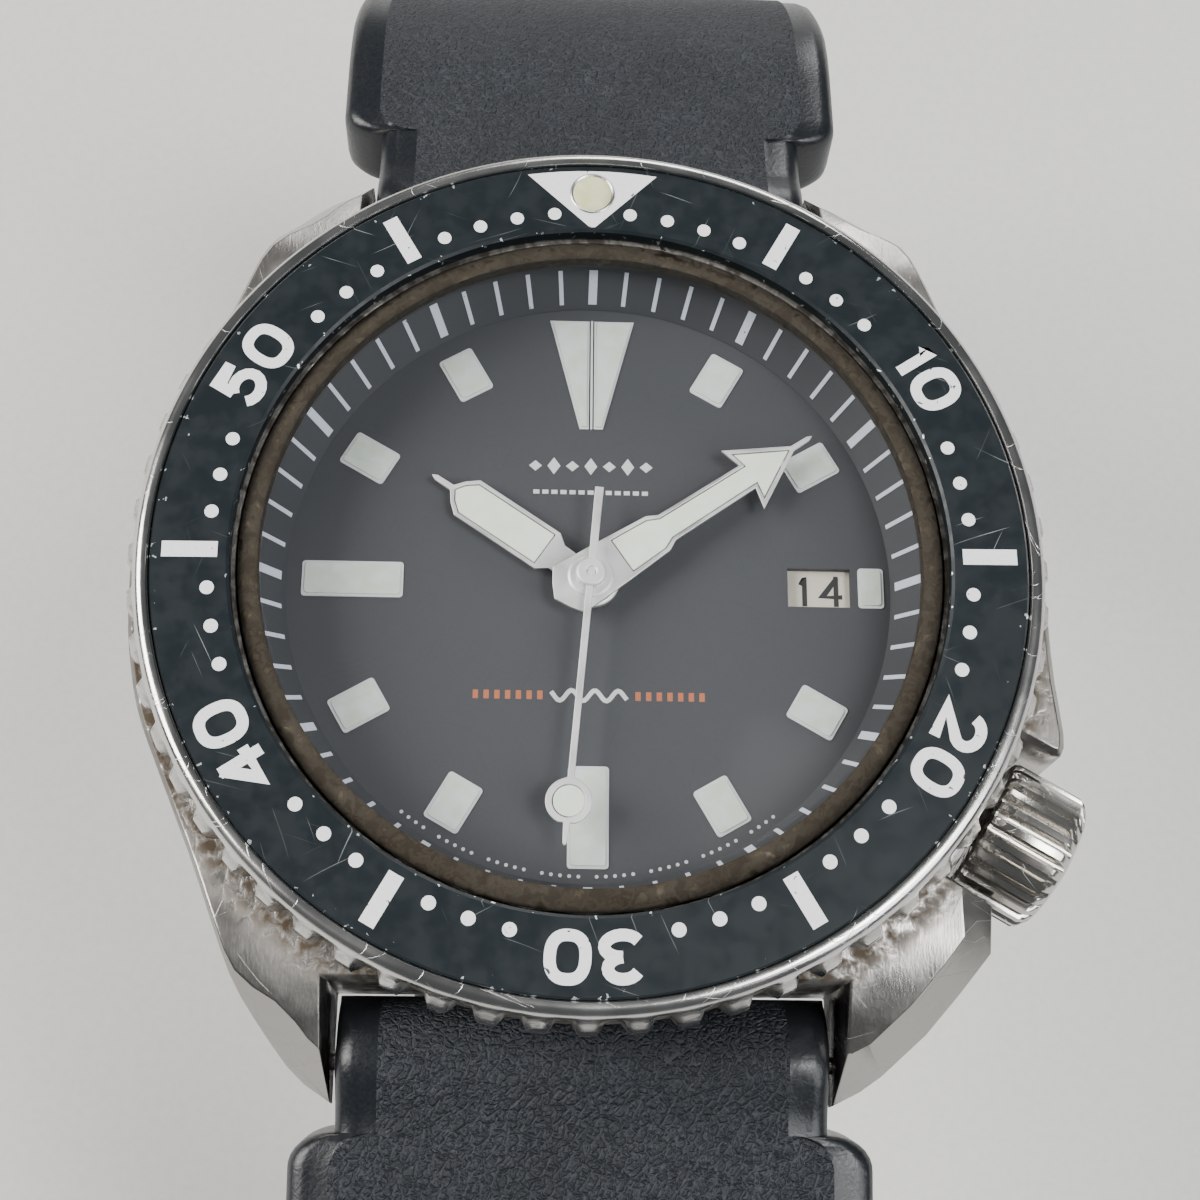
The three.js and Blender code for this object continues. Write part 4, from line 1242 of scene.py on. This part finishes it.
    def orange_print(self) -> Shape:
        """Two short rows of strokes at both sides of the wave."""
        shape = Shape()
        for side in (1, -1):
            for i in range(7):
                x = side * (2.2 + i * 0.48)
                bar = rectangle((x - 0.12, -5.5), (x + 0.12, -5.1))
                shape.add(Shape().plate([bar], self.top - 0.02, self.top + 0.012))
        return shape

    def date_disc(self) -> Shape:
        """A flat ring that fills the window."""
        low, high = (corner.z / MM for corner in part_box("date_ring"))
        return Shape().lathe([(8.6, low), (12.9, low), (12.9, high), (8.6, high)], 124)

    def date_figures(self) -> Shape:
        """The days of the month round the ring, today's in the window."""
        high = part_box("date_ring")[1].z / MM
        shape = Shape()
        for day in range(1, 32):
            digits = str(day)
            turn = turn_about("Z", (self.today - day) * 360 / 31)
            for place, digit in enumerate(digits):
                x = self.window[0] + (place - (len(digits) - 1) / 2) * 1.26
                half = (0.22, 0.66) if digit == "1" else (0.44, 0.66)
                figure = glyph(digit, half, 0.22, high - 0.02, high + 0.015)
                shape.add(figure.moved(turn @ shift(x, 0, 0)))
        return shape


# ------------------------------------------------------------------ hands
@dataclass
class Hand:
    """One hand: a metal blade with windows filled with lume, and its hub.

    Both outlines are the right half, from the tip to the tail, pointing to 12.
    """

    name: str
    node: str
    body: str
    angle: float
    low: float
    outline: Sequence[Point2]
    lume: Sequence[Point2]
    hub: float
    bore: float
    thick: float = 0.18

    def build(self) -> list[bpy.types.Object]:
        """Makes the blade with its hub, and the lume."""
        turn = clockwise(self.angle)
        high = self.low + self.thick
        lume = mirrored(self.lume)[::-1]
        window = inset(lume, [-0.05] * len(lume))
        blade = Shape().plate([mirrored(self.outline)[::-1], window], self.low, high)
        foot = self.low - 0.25
        hub = [(self.bore, foot), (self.hub - 0.12, foot), (self.hub, self.low), (self.hub, high + 0.03)]
        hub += [(self.hub - 0.1, high + 0.1), (self.bore + 0.08, high + 0.1), (self.bore, high + 0.04)]
        blade.add(Shape().lathe(hub, 40))
        filling = Shape().plate([lume], self.low + 0.02, high - 0.01)
        return [
            piece(blade.moved(turn), self.name, HAND, self.body, [self.node], 0.035, 30),
            piece(filling.moved(turn), f"{self.name}_lume", HAND_LUME, self.body, (), 0.03, 30),
        ]


def hands() -> list[Hand]:
    """The three hands at the time shown."""
    ring = arc((0, 10.5), (1.02, 1.02), 78, -78, 16)
    return [
        Hand(
            "hour_blade", "hour_hand", "hours", 304.0, 8.7,
            [
                (0.0, 8.85), (0.13, 8.6), (0.15, 7.72), (0.62, 7.35), (1.04, 6.85), (1.04, 2.35),
                (0.66, 1.85), (0.6, 0.2), (0.5, -0.9),
            ],
            [(0.0, 7.5), (0.42, 7.22), (0.8, 6.75), (0.8, 2.55)], 1.35, 0.78,
        ),
        Hand(
            "minute_blade", "minute_hand", "minutes", 55.4, 9.2,
            [
                (0.0, 12.45), (0.11, 12.2), (0.13, 11.3), (1.72, 8.45), (0.66, 8.72), (0.72, 4.2),
                (0.98, 3.7), (1.15, 1.4), (1.3, -1.2), (0.7, -1.62), (0.0, -1.98),
            ],
            [(0.0, 11.05), (1.22, 8.82), (0.45, 8.98), (0.5, 4.15), (0.76, 3.6), (0.86, 1.75)], 1.05, 0.5,
        ),
        Hand(
            "seconds_needle", "seconds_hand", "seconds", 184.9, 9.75,
            [(0.0, 12.45), (0.09, 12.35), (0.15, 11.45), *ring[1:-1], (0.15, 9.45), (0.17, 0.3), (0.2, -4.1)],
            arc((0, 10.5), (0.68, 0.68), 90, -90, 14), 0.68, 0.2,
        ),
    ]


# ------------------------------------------------------------------ crown
@dataclass
class Crown:
    """The ridged screw-down crown between its guards."""

    angle: float = -30.0
    stem_z: float = 5.5
    radius: float = 3.32
    inner: float = 20.7
    outer: float = 24.6
    ridges: int = 26
    depth: float = 0.42
    body: str = "crown_and_stem"

    def build(self) -> list[bpy.types.Object]:
        """Makes the crown."""
        r, foot, top = self.radius, self.inner, self.outer
        profile = [
            (0, foot), (r - 0.45, foot), (r - 0.12, foot + 0.12), (r, foot + 0.35), (r, top - 0.5),
            (r - 0.12, top - 0.28), (r - 0.5, top), (r - 0.62, top + 0.06), (r - 0.8, top + 0.12),
            (1.4, top + 0.34), (0.6, top + 0.42), (0, top + 0.44),
        ]

        def ridge(row: int, angle: float) -> Point2:
            """Cuts the grooves between the ridges."""
            share = (angle / math.tau * self.ridges) % 1.0
            groove = smoothstep(math.cos(math.tau * share), -0.1, 0.9)
            return -self.depth * groove * {2: 0.5, 3: 1.0, 4: 1.0, 5: 0.8}.get(row, 0.0), 0.0

        shape = Shape().lathe(profile, self.ridges * 10, ridge)
        spot = shift(0, 0, self.stem_z) @ turn_about("Z", self.angle)
        shape.moved(spot @ turn_about("Y", 90))
        return [piece(shape, "ridged_crown", CROWN, self.body, ["crown"], 0.0, 38)]


# ------------------------------------------------------------------ strap
@dataclass
class StrapPath:
    """The middle line of a strap half: off the bar, round the bend, down the side and round the loop."""

    side_run: float
    end_slope: float
    last_run: float
    shoulder: float
    start: Point2 = (21.0, 3.3)
    drop: float = 8.0
    bar_run: float = 8.6
    bend: float = 11.0
    side_slope: float = 85.0
    loop: float = 20.0
    narrow: float = 21.6
    wide: float = 25.6
    tail: float = 20.0
    taper_from: float = 12.0
    shoulder_run: float = 1.5
    thick: float = 4.4
    thin: float = 2.6
    thin_from: float = 34.0
    step: float = 0.1
    spots: list[tuple[float, float]] = field(default_factory=list)

    def __post_init__(self) -> None:
        """Walks the line and keeps a point for each step."""
        self.lengths = [
            self.bar_run,
            self.bend * math.radians(self.side_slope - self.drop),
            self.side_run,
            self.loop * math.radians(self.end_slope - self.side_slope),
            self.last_run,
        ]
        self.total = sum(self.lengths)
        y, z = self.start
        for i in range(int(self.total / self.step) + 8):
            self.spots.append((y, z))
            slope = math.radians(self.slope((i + 0.5) * self.step))
            y += self.step * math.cos(slope)
            z -= self.step * math.sin(slope)

    def slope(self, at: float) -> float:
        """How steeply the line falls at a distance along it, in degrees."""
        before = 0.0
        turns = (0.0, self.side_slope - self.drop, 0.0, self.end_slope - self.side_slope, 0.0)
        angle = self.drop
        for length, turn in zip(self.lengths, turns):
            if length:
                angle += turn * min(1.0, max(0.0, (at - before) / length))
            before += length
        return angle

    def spot(self, at: float) -> Matrix:
        """The frame at a distance along the line: X across, Y along and Z out of the strap."""
        i = min(len(self.spots) - 2, max(0, int(at / self.step)))
        share = at / self.step - i
        (y0, z0), (y1, z1) = self.spots[i], self.spots[i + 1]
        place = shift(0, y0 + (y1 - y0) * share, z0 + (z1 - z0) * share)
        return place @ turn_about("X", -self.slope(at))

    def width(self, at: float) -> float:
        """Width of the strap, with its rounded shoulders just past the lugs."""
        taper = max(0.0, (at - self.taper_from) / (self.total - self.taper_from))
        widest = self.wide + (self.tail - self.wide) * taper
        rise = min(1.0, max(0.0, (at - self.shoulder) / self.shoulder_run))
        return self.narrow + (widest - self.narrow) * math.sqrt(1 - (1 - rise) ** 2)

    def thickness(self, at: float) -> float:
        """Thickness of the strap."""
        return self.thick + (self.thin - self.thick) * min(1.0, max(0.0, at / self.thin_from))


@dataclass
class StrapHalf:
    """One half of the rubber strap, on the 12 o'clock side unless it is flipped."""

    name: str
    node: str
    path: StrapPath
    flipped: bool = False
    holes: int = 0
    pitch: float = 6.0
    first_hole: float = 11.0
    border: float = 1.75
    panel: float = 0.12
    eye: float = 2.9

    def build(self) -> list[bpy.types.Object]:
        """Makes the half with its bores, holes or tongue slot."""
        turn = Matrix.Rotation(math.pi if self.flipped else 0.0, 4, "Z")
        half = self.half().moved(turn)
        cutters = [cutter.moved(turn) for cutter in self.cutters()]
        return [piece(half, self.name, SMOOTH, self.node_body(), [self.node], 0.0, 40, GRAINED, cutters)]

    def node_body(self) -> str:
        """The CAD body of this half."""
        return "strap_6" if self.flipped else "strap_12"

    def section(self, wide: float, thick: float, raised: float) -> list[Point2]:
        """A cross-section, anticlockwise from the middle of the underside.

        Args:
            wide: Its width.
            thick: Its thickness.
            raised: How far the grained panel stands up.

        Returns:
            The corners.
        """
        x, z = wide / 2, thick / 2
        soft = min(1.0, z / 1.3)
        right = [
            (0, -z), (x - 1.0, -z), (x - 0.35, -z + 0.1 * soft), (x - 0.05, -z + 0.45 * soft),
            (x, -z + 0.9 * soft),
            (x, z - 0.95 * soft), (x - 0.08, z - 0.5 * soft), (x - 0.35, z - 0.15 * soft), (x - 0.85, z),
            (x - self.border + 0.1, z), (x - self.border - 0.12, z + raised), (x - 3.2, z + raised),
            (x - 6.5, z + raised), (0, z + raised),
        ]
        return right + [(-a, b) for a, b in reversed(right[1:-1])]

    def half(self) -> Shape:
        """The body, lofted from its eye to its far end."""
        total = self.path.total
        stations = [-self.eye * math.cos(math.radians(7 + 83 * i / 9)) for i in range(10)] + [0.8, 1.6, 2.4]
        stations += [self.path.shoulder + d for d in (0.0, 0.02, 0.06, 0.14, 0.27, 0.45, 0.7, 1.0, 1.3, 1.55)]
        stations += [6.5 + (total - 6.5) * i / 110 for i in range(1, 111)]
        if self.holes:
            stations += [total + d for d in (0.8, 1.8, 2.8, 3.6, 4.2, 4.6, 4.85, 4.98)]
        else:
            stations += [total + d for d in (0.5, 0.9, 1.2, 1.38, 1.46)]
        loops = []
        for at in stations:
            wide, thick = self.path.width(at), self.path.thickness(at)
            if at < 0:
                thick = 2 * math.sqrt(self.eye**2 - at**2)
            elif at < 2.4:
                thick += (2 * self.eye - thick) * (1 - smoothstep(at, 0.0, 2.4))
            if at > total and self.holes:
                wide *= math.sqrt(max(0.01, 1 - ((at - total) / 5.0) ** 2))
            elif at > total:
                thick = 2 * math.sqrt(max(0.02, 1.48**2 - (at - total) ** 2))
            raised = self.panel * smoothstep(at, 0.2, 1.2) * (1 - smoothstep(at, total - 9, total - 7))
            frame_at = self.path.spot(at)
            loops.append([frame_at @ Vector((x, 0, z)) for x, z in self.section(wide, thick, raised)])
        return Shape().loft(loops, toned=range(10, 16))

    def cutters(self) -> list[Shape]:
        """The spring bar's bore, and the holes or the tongue's slot and its bar's bore."""
        bar = turn_about("Y", 90)
        bore = Shape().lathe([(0, -15), (0.83, -15), (0.83, 15), (0, 15)], 24)
        tools = [bore.moved(self.path.spot(0.0) @ bar)]
        for i in range(self.holes):
            hole = Shape().lathe([(0, -3), (1.2, -3), (1.2, 3), (0, 3)], 28)
            tools.append(hole.moved(self.path.spot(self.path.total - self.first_hole - i * self.pitch)))
        if not self.holes:
            end = self.path.spot(self.path.total)
            tools.append(Shape().lathe([(0, -15), (0.78, -15), (0.78, 15), (0, 15)], 24).moved(end @ bar))
            tools.append(Shape().plate([rectangle((-1.7, -4.5), (1.7, 4.0))], -4, 4).moved(end))
        return tools


@dataclass
class Keeper:
    """A rubber loop round the strap."""

    name: str
    node: str
    body: str
    path: StrapPath
    at: float
    length: float
    wall: float = 1.2
    room: float = 3.1

    def build(self) -> list[bpy.types.Object]:
        """Makes the loop."""
        half = self.path.width(self.at) / 2 + 0.35
        thick = self.path.thickness(self.at) / 2
        low, high = -thick - 0.3, thick + self.room
        middle, tall = (low + high) / 2, (high - low) / 2
        near = [(0.0, -0.42), (0.35, -0.5), (0.75, -0.5), (1.0, -0.44)]
        rows = near + [(1.06, 0.0)] + [(share, -along) for share, along in reversed(near)]
        loops = []
        for share, along in rows:
            grow = share * self.wall
            outline = rounded(half + grow, tall + grow, 0.9 + grow, 6)
            loops.append([(x, along * self.length, middle + z) for x, z in outline])
        shape = Shape().loft(loops, joined=True).moved(self.path.spot(self.at))
        return [piece(shape, self.name, SMOOTH, self.body, [self.node], 0.0, 50)]


# ------------------------------------------------------------------ buckle and bars
@dataclass
class Buckle:
    """The steel frame, its tongue and its bar, hanging from the short half."""

    bar_y: float
    bar_z: float
    half: float = 12.3
    reach: float = 10.5
    side: float = 1.9
    thick: float = 2.2
    tongue_half: float = 0.8

    def build(self) -> list[bpy.types.Object]:
        """Makes the frame, the tongue and the bar."""
        hang = shift(0, self.bar_y, self.bar_z) @ turn_about("X", 90)
        along_x = hang @ turn_about("Y", 90)
        bar = Shape().lathe(spring_bar(10.3, 11.6, 0.7), 24)
        return [
            piece(self.frame().moved(hang), "buckle_loop", BUCKLE, "buckle", ["buckle_frame"], 0.45, 40),
            piece(self.tongue().moved(hang), "buckle_prong", BUCKLE, "tongue", ["buckle_tongue"], 0.15, 40),
            piece(bar.moved(along_x), "buckle_spring_bar", PIN, "strap_12", ["buckle_bar"], 0.0, 40),
        ]

    def frame(self) -> Shape:
        """A U of bar with rounded corners."""
        x, y = self.half, self.reach
        outer = [(x, 1.3)] + [(px, py) for px, py in arc((x - 3.0, 3.0 - y), (3.0, 3.0), 0, -90, 8)]
        inner_x, inner_y = x - self.side, self.reach - 2.1
        inner = [(inner_x, 1.3)] + arc((inner_x - 1.6, 1.6 - inner_y), (1.6, 1.6), 0, -90, 6)
        left_outer = [(-px, py) for px, py in reversed(outer)]
        left_inner = [(-px, py) for px, py in inner]
        outline = outer + left_outer + left_inner + inner[::-1]
        return Shape().plate([outline], -self.thick / 2, self.thick / 2)

    def tongue(self) -> Shape:
        """The prong, drawn from the side: a loop round the bar, a neck and a blade with a round nose."""
        rest = -self.thick / 2 - 0.3
        low = rest - 0.8
        side_view = [
            (-0.95, -1.0), (-1.2, -0.35), (-2.2, rest + 0.25), (-3.2, rest), (-10.2, rest),
            (-10.75, rest - 0.15), (-10.95, rest - 0.4), (-10.75, low + 0.12), (-10.3, low), (-3.0, low),
            (-1.9, low + 0.25), (-0.6, -1.15),
        ]
        loops = [[(x, y, z) for y, z in side_view] for x in (-self.tongue_half, self.tongue_half)]
        eye = Shape().lathe([(0.8, -1.1), (1.35, -1.1), (1.35, 1.1), (0.8, 1.1)], 28)
        return Shape().loft(loops).add(eye.moved(turn_about("Y", 90)))


def spring_bar(tube: float, tip: float, radius: float) -> list[Point2]:
    """Profile of a spring bar: two tips, two flanges and the tube between them."""
    half = [(0.4, tip - 0.1), (0.4, tube), (radius, tube), (radius, tube - 0.45), (radius - 0.16, tube - 0.5)]
    half += [(radius - 0.16, tube - 0.8), (radius - 0.02, tube - 0.85)]
    lower = [(r, -z) for r, z in half]
    return [(0, -tip), (0.3, -tip)] + lower + half[::-1] + [(0.3, tip), (0, tip)]


@dataclass
class SpringBars:
    """The two bars between the lugs."""

    y: float = 21.0
    z: float = 3.3

    def build(self) -> list[bpy.types.Object]:
        """Makes both bars."""
        made = []
        for node, side in (("spring_bar_12", 1), ("spring_bar_6", -1)):
            spot = shift(0, side * self.y, self.z) @ turn_about("Y", 90)
            shape = Shape().lathe(spring_bar(10.95, 12.6, 0.75), 24).moved(spot)
            made.append(piece(shape, f"{node}_turned", PIN, "watch_case", [node], 0.0, 40))
        return made


# ------------------------------------------------------------------ what stays CAD
@dataclass(frozen=True)
class Works:
    """The pieces inside the case, which keep their CAD meshes and take finishes."""

    finishes: tuple[tuple[Finish, tuple[str, ...]], ...] = (
        (GILT, (
            "main_plate", "mainspring_barrel", "center_wheel", "third_wheel", "fourth_wheel",
            "minute_wheel", "hour_wheel", "balance_wheel", "reduction_wheel",
        )),
        (NICKEL, ("train_bridge", "balance_cock", "rotor")),
        (TEMPERED, (
            "escape_wheel", "ratchet_wheel", "pawl_lever", "pallet_fork", "hairspring",
            "rotor_screw", "winding_stem", "sliding_pinion", "bezel_click_spring",
        )),
        (SEAL, ("case_back_gasket", "crystal_gasket", "bezel_gasket", "crown_gasket")),
        (NYLON, ("movement_ring",)),
        (CASE_SIDE, ("crown_tube",)),
    )

    def dress(self) -> int:
        """Gives each node its finish, and returns how many there are."""
        for finish, names in self.finishes:
            for name in names:
                paint_node(name, finish)
        return sum(len(names) for _, names in self.finishes)


# ------------------------------------------------------------------ studio
@dataclass
class Studio:
    """A pale floor, soft lamps and the camera."""

    floor_z: float = -55.9
    eye: tuple[float, float, float] = (-2.79, -27.52, 90.08)
    look: tuple[float, float, float] = (0.0407, 0.3098, -0.9499)
    up: tuple[float, float, float] = (-0.0187, 0.9508, 0.3093)
    lens: float = 56.77
    shift: Point2 = (-0.0046, 0.0007)

    def build(self) -> None:
        """Adds the floor, the lamps, the sky's light and the camera."""
        self.floor()
        self.lamp("key_lamp", (-560, 60, 420), 420, 8.0, (1.0, 0.985, 0.96))
        self.lamp("lug_lamp", (185, -75, 420), 150, 1.3, (1.0, 1.0, 1.0))
        self.lamp("fill_lamp", (480, -260, 420), 380, 2.6, (0.95, 0.975, 1.0))
        self.lamp("back_lamp", (120, 620, 260), 300, 2.2, (1.0, 1.0, 1.0))
        world = bpy.data.worlds.new("soft_sky")
        world.use_nodes = True
        sky = world.node_tree.nodes["Background"]
        sky.inputs["Color"].default_value = (0.86, 0.9, 0.95, 1.0)
        sky.inputs["Strength"].default_value = 0.13
        bpy.context.scene.world = world
        self.camera()

    def floor(self) -> None:
        """A plain floor that reaches past the picture."""
        half = 600.0
        shape = Shape()
        corners = rectangle((-half, -half), (half, half))
        shape.face(shape.ring((x, y, self.floor_z) for x, y in corners))
        plane = bpy.data.objects.new("floor", mesh_of(shape, "floor"))
        bpy.context.scene.collection.objects.link(plane)
        plane.data.materials.append(Finish("pale_floor", "", (0.72, 0.71, 0.69), 0.75).material())

    def lamp(
        self, name: str, place: tuple[float, float, float], size: float, power: float, colour: Colour
    ) -> None:
        """A square soft lamp aimed at the watch.

        Args:
            name: The lamp's name.
            place: Where it is, in millimetres.
            size: Length of its sides.
            power: Its power in watts.
            colour: Its colour.
        """
        data = bpy.data.lights.new(name, "AREA")
        data.energy = power
        data.size = size * MM
        data.color = colour
        lamp = bpy.data.objects.new(name, data)
        facing = Vector(place).to_track_quat("Z", "Y").to_matrix().to_4x4()
        lamp.matrix_world = Matrix.Translation(Vector(place) * MM) @ facing
        bpy.context.scene.collection.objects.link(lamp)

    def camera(self) -> None:
        """The camera, square to its look and up directions."""
        data = bpy.data.cameras.new("camera")
        data.lens = self.lens
        data.sensor_width = 36.0
        data.shift_x, data.shift_y = self.shift
        data.clip_start = 0.005
        look, up = Vector(self.look).normalized(), Vector(self.up).normalized()
        side = look.cross(up).normalized()
        axes = Matrix((side, side.cross(look), -look)).transposed().to_4x4()
        camera = bpy.data.objects.new("camera", data)
        camera.matrix_world = Matrix.Translation(Vector(self.eye) * MM) @ axes
        bpy.context.scene.collection.objects.link(camera)
        bpy.context.scene.camera = camera


# ------------------------------------------------------------------ assembly
def main() -> None:
    """Builds the watch and the studio."""
    logging.basicConfig(level=logging.INFO, format="%(message)s")
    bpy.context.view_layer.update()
    short, long = StrapPath(20.0, 136.0, 0.0, 4.25), StrapPath(25.0, 180.0, 38.0, 2.85)
    low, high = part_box("buckle_bar")
    bar = (low + high) / 2 / MM
    side_start = short.bar_run + short.lengths[1]
    loop_at = short.total - short.lengths[3] / 3
    assemblies = [
        Case(), Crystal(), Bezel(), Dial(), *hands(), Crown(), SpringBars(),
        StrapHalf("strap_short_half", "strap_12_half", short),
        StrapHalf("strap_long_half", "strap_6_half", long, True, 10),
        Keeper("loose_keeper_loop", "floating_keeper", "loose_keeper", short, side_start + 10.0, 5.0),
        Keeper("fixed_keeper_loop", "fixed_keeper", "strap_12", short, loop_at, 4.0),
        Buckle(bar.y, bar.z),
    ]
    for assembly in assemblies:
        for made in assembly.build():
            LOG.info("%s: %s with %d faces", type(assembly).__name__, made.name, len(made.data.polygons))
    LOG.info("%s: %d CAD nodes dressed", Works.__name__, Works().dress())
    Studio().build()


if __name__ == "__main__":
    main()
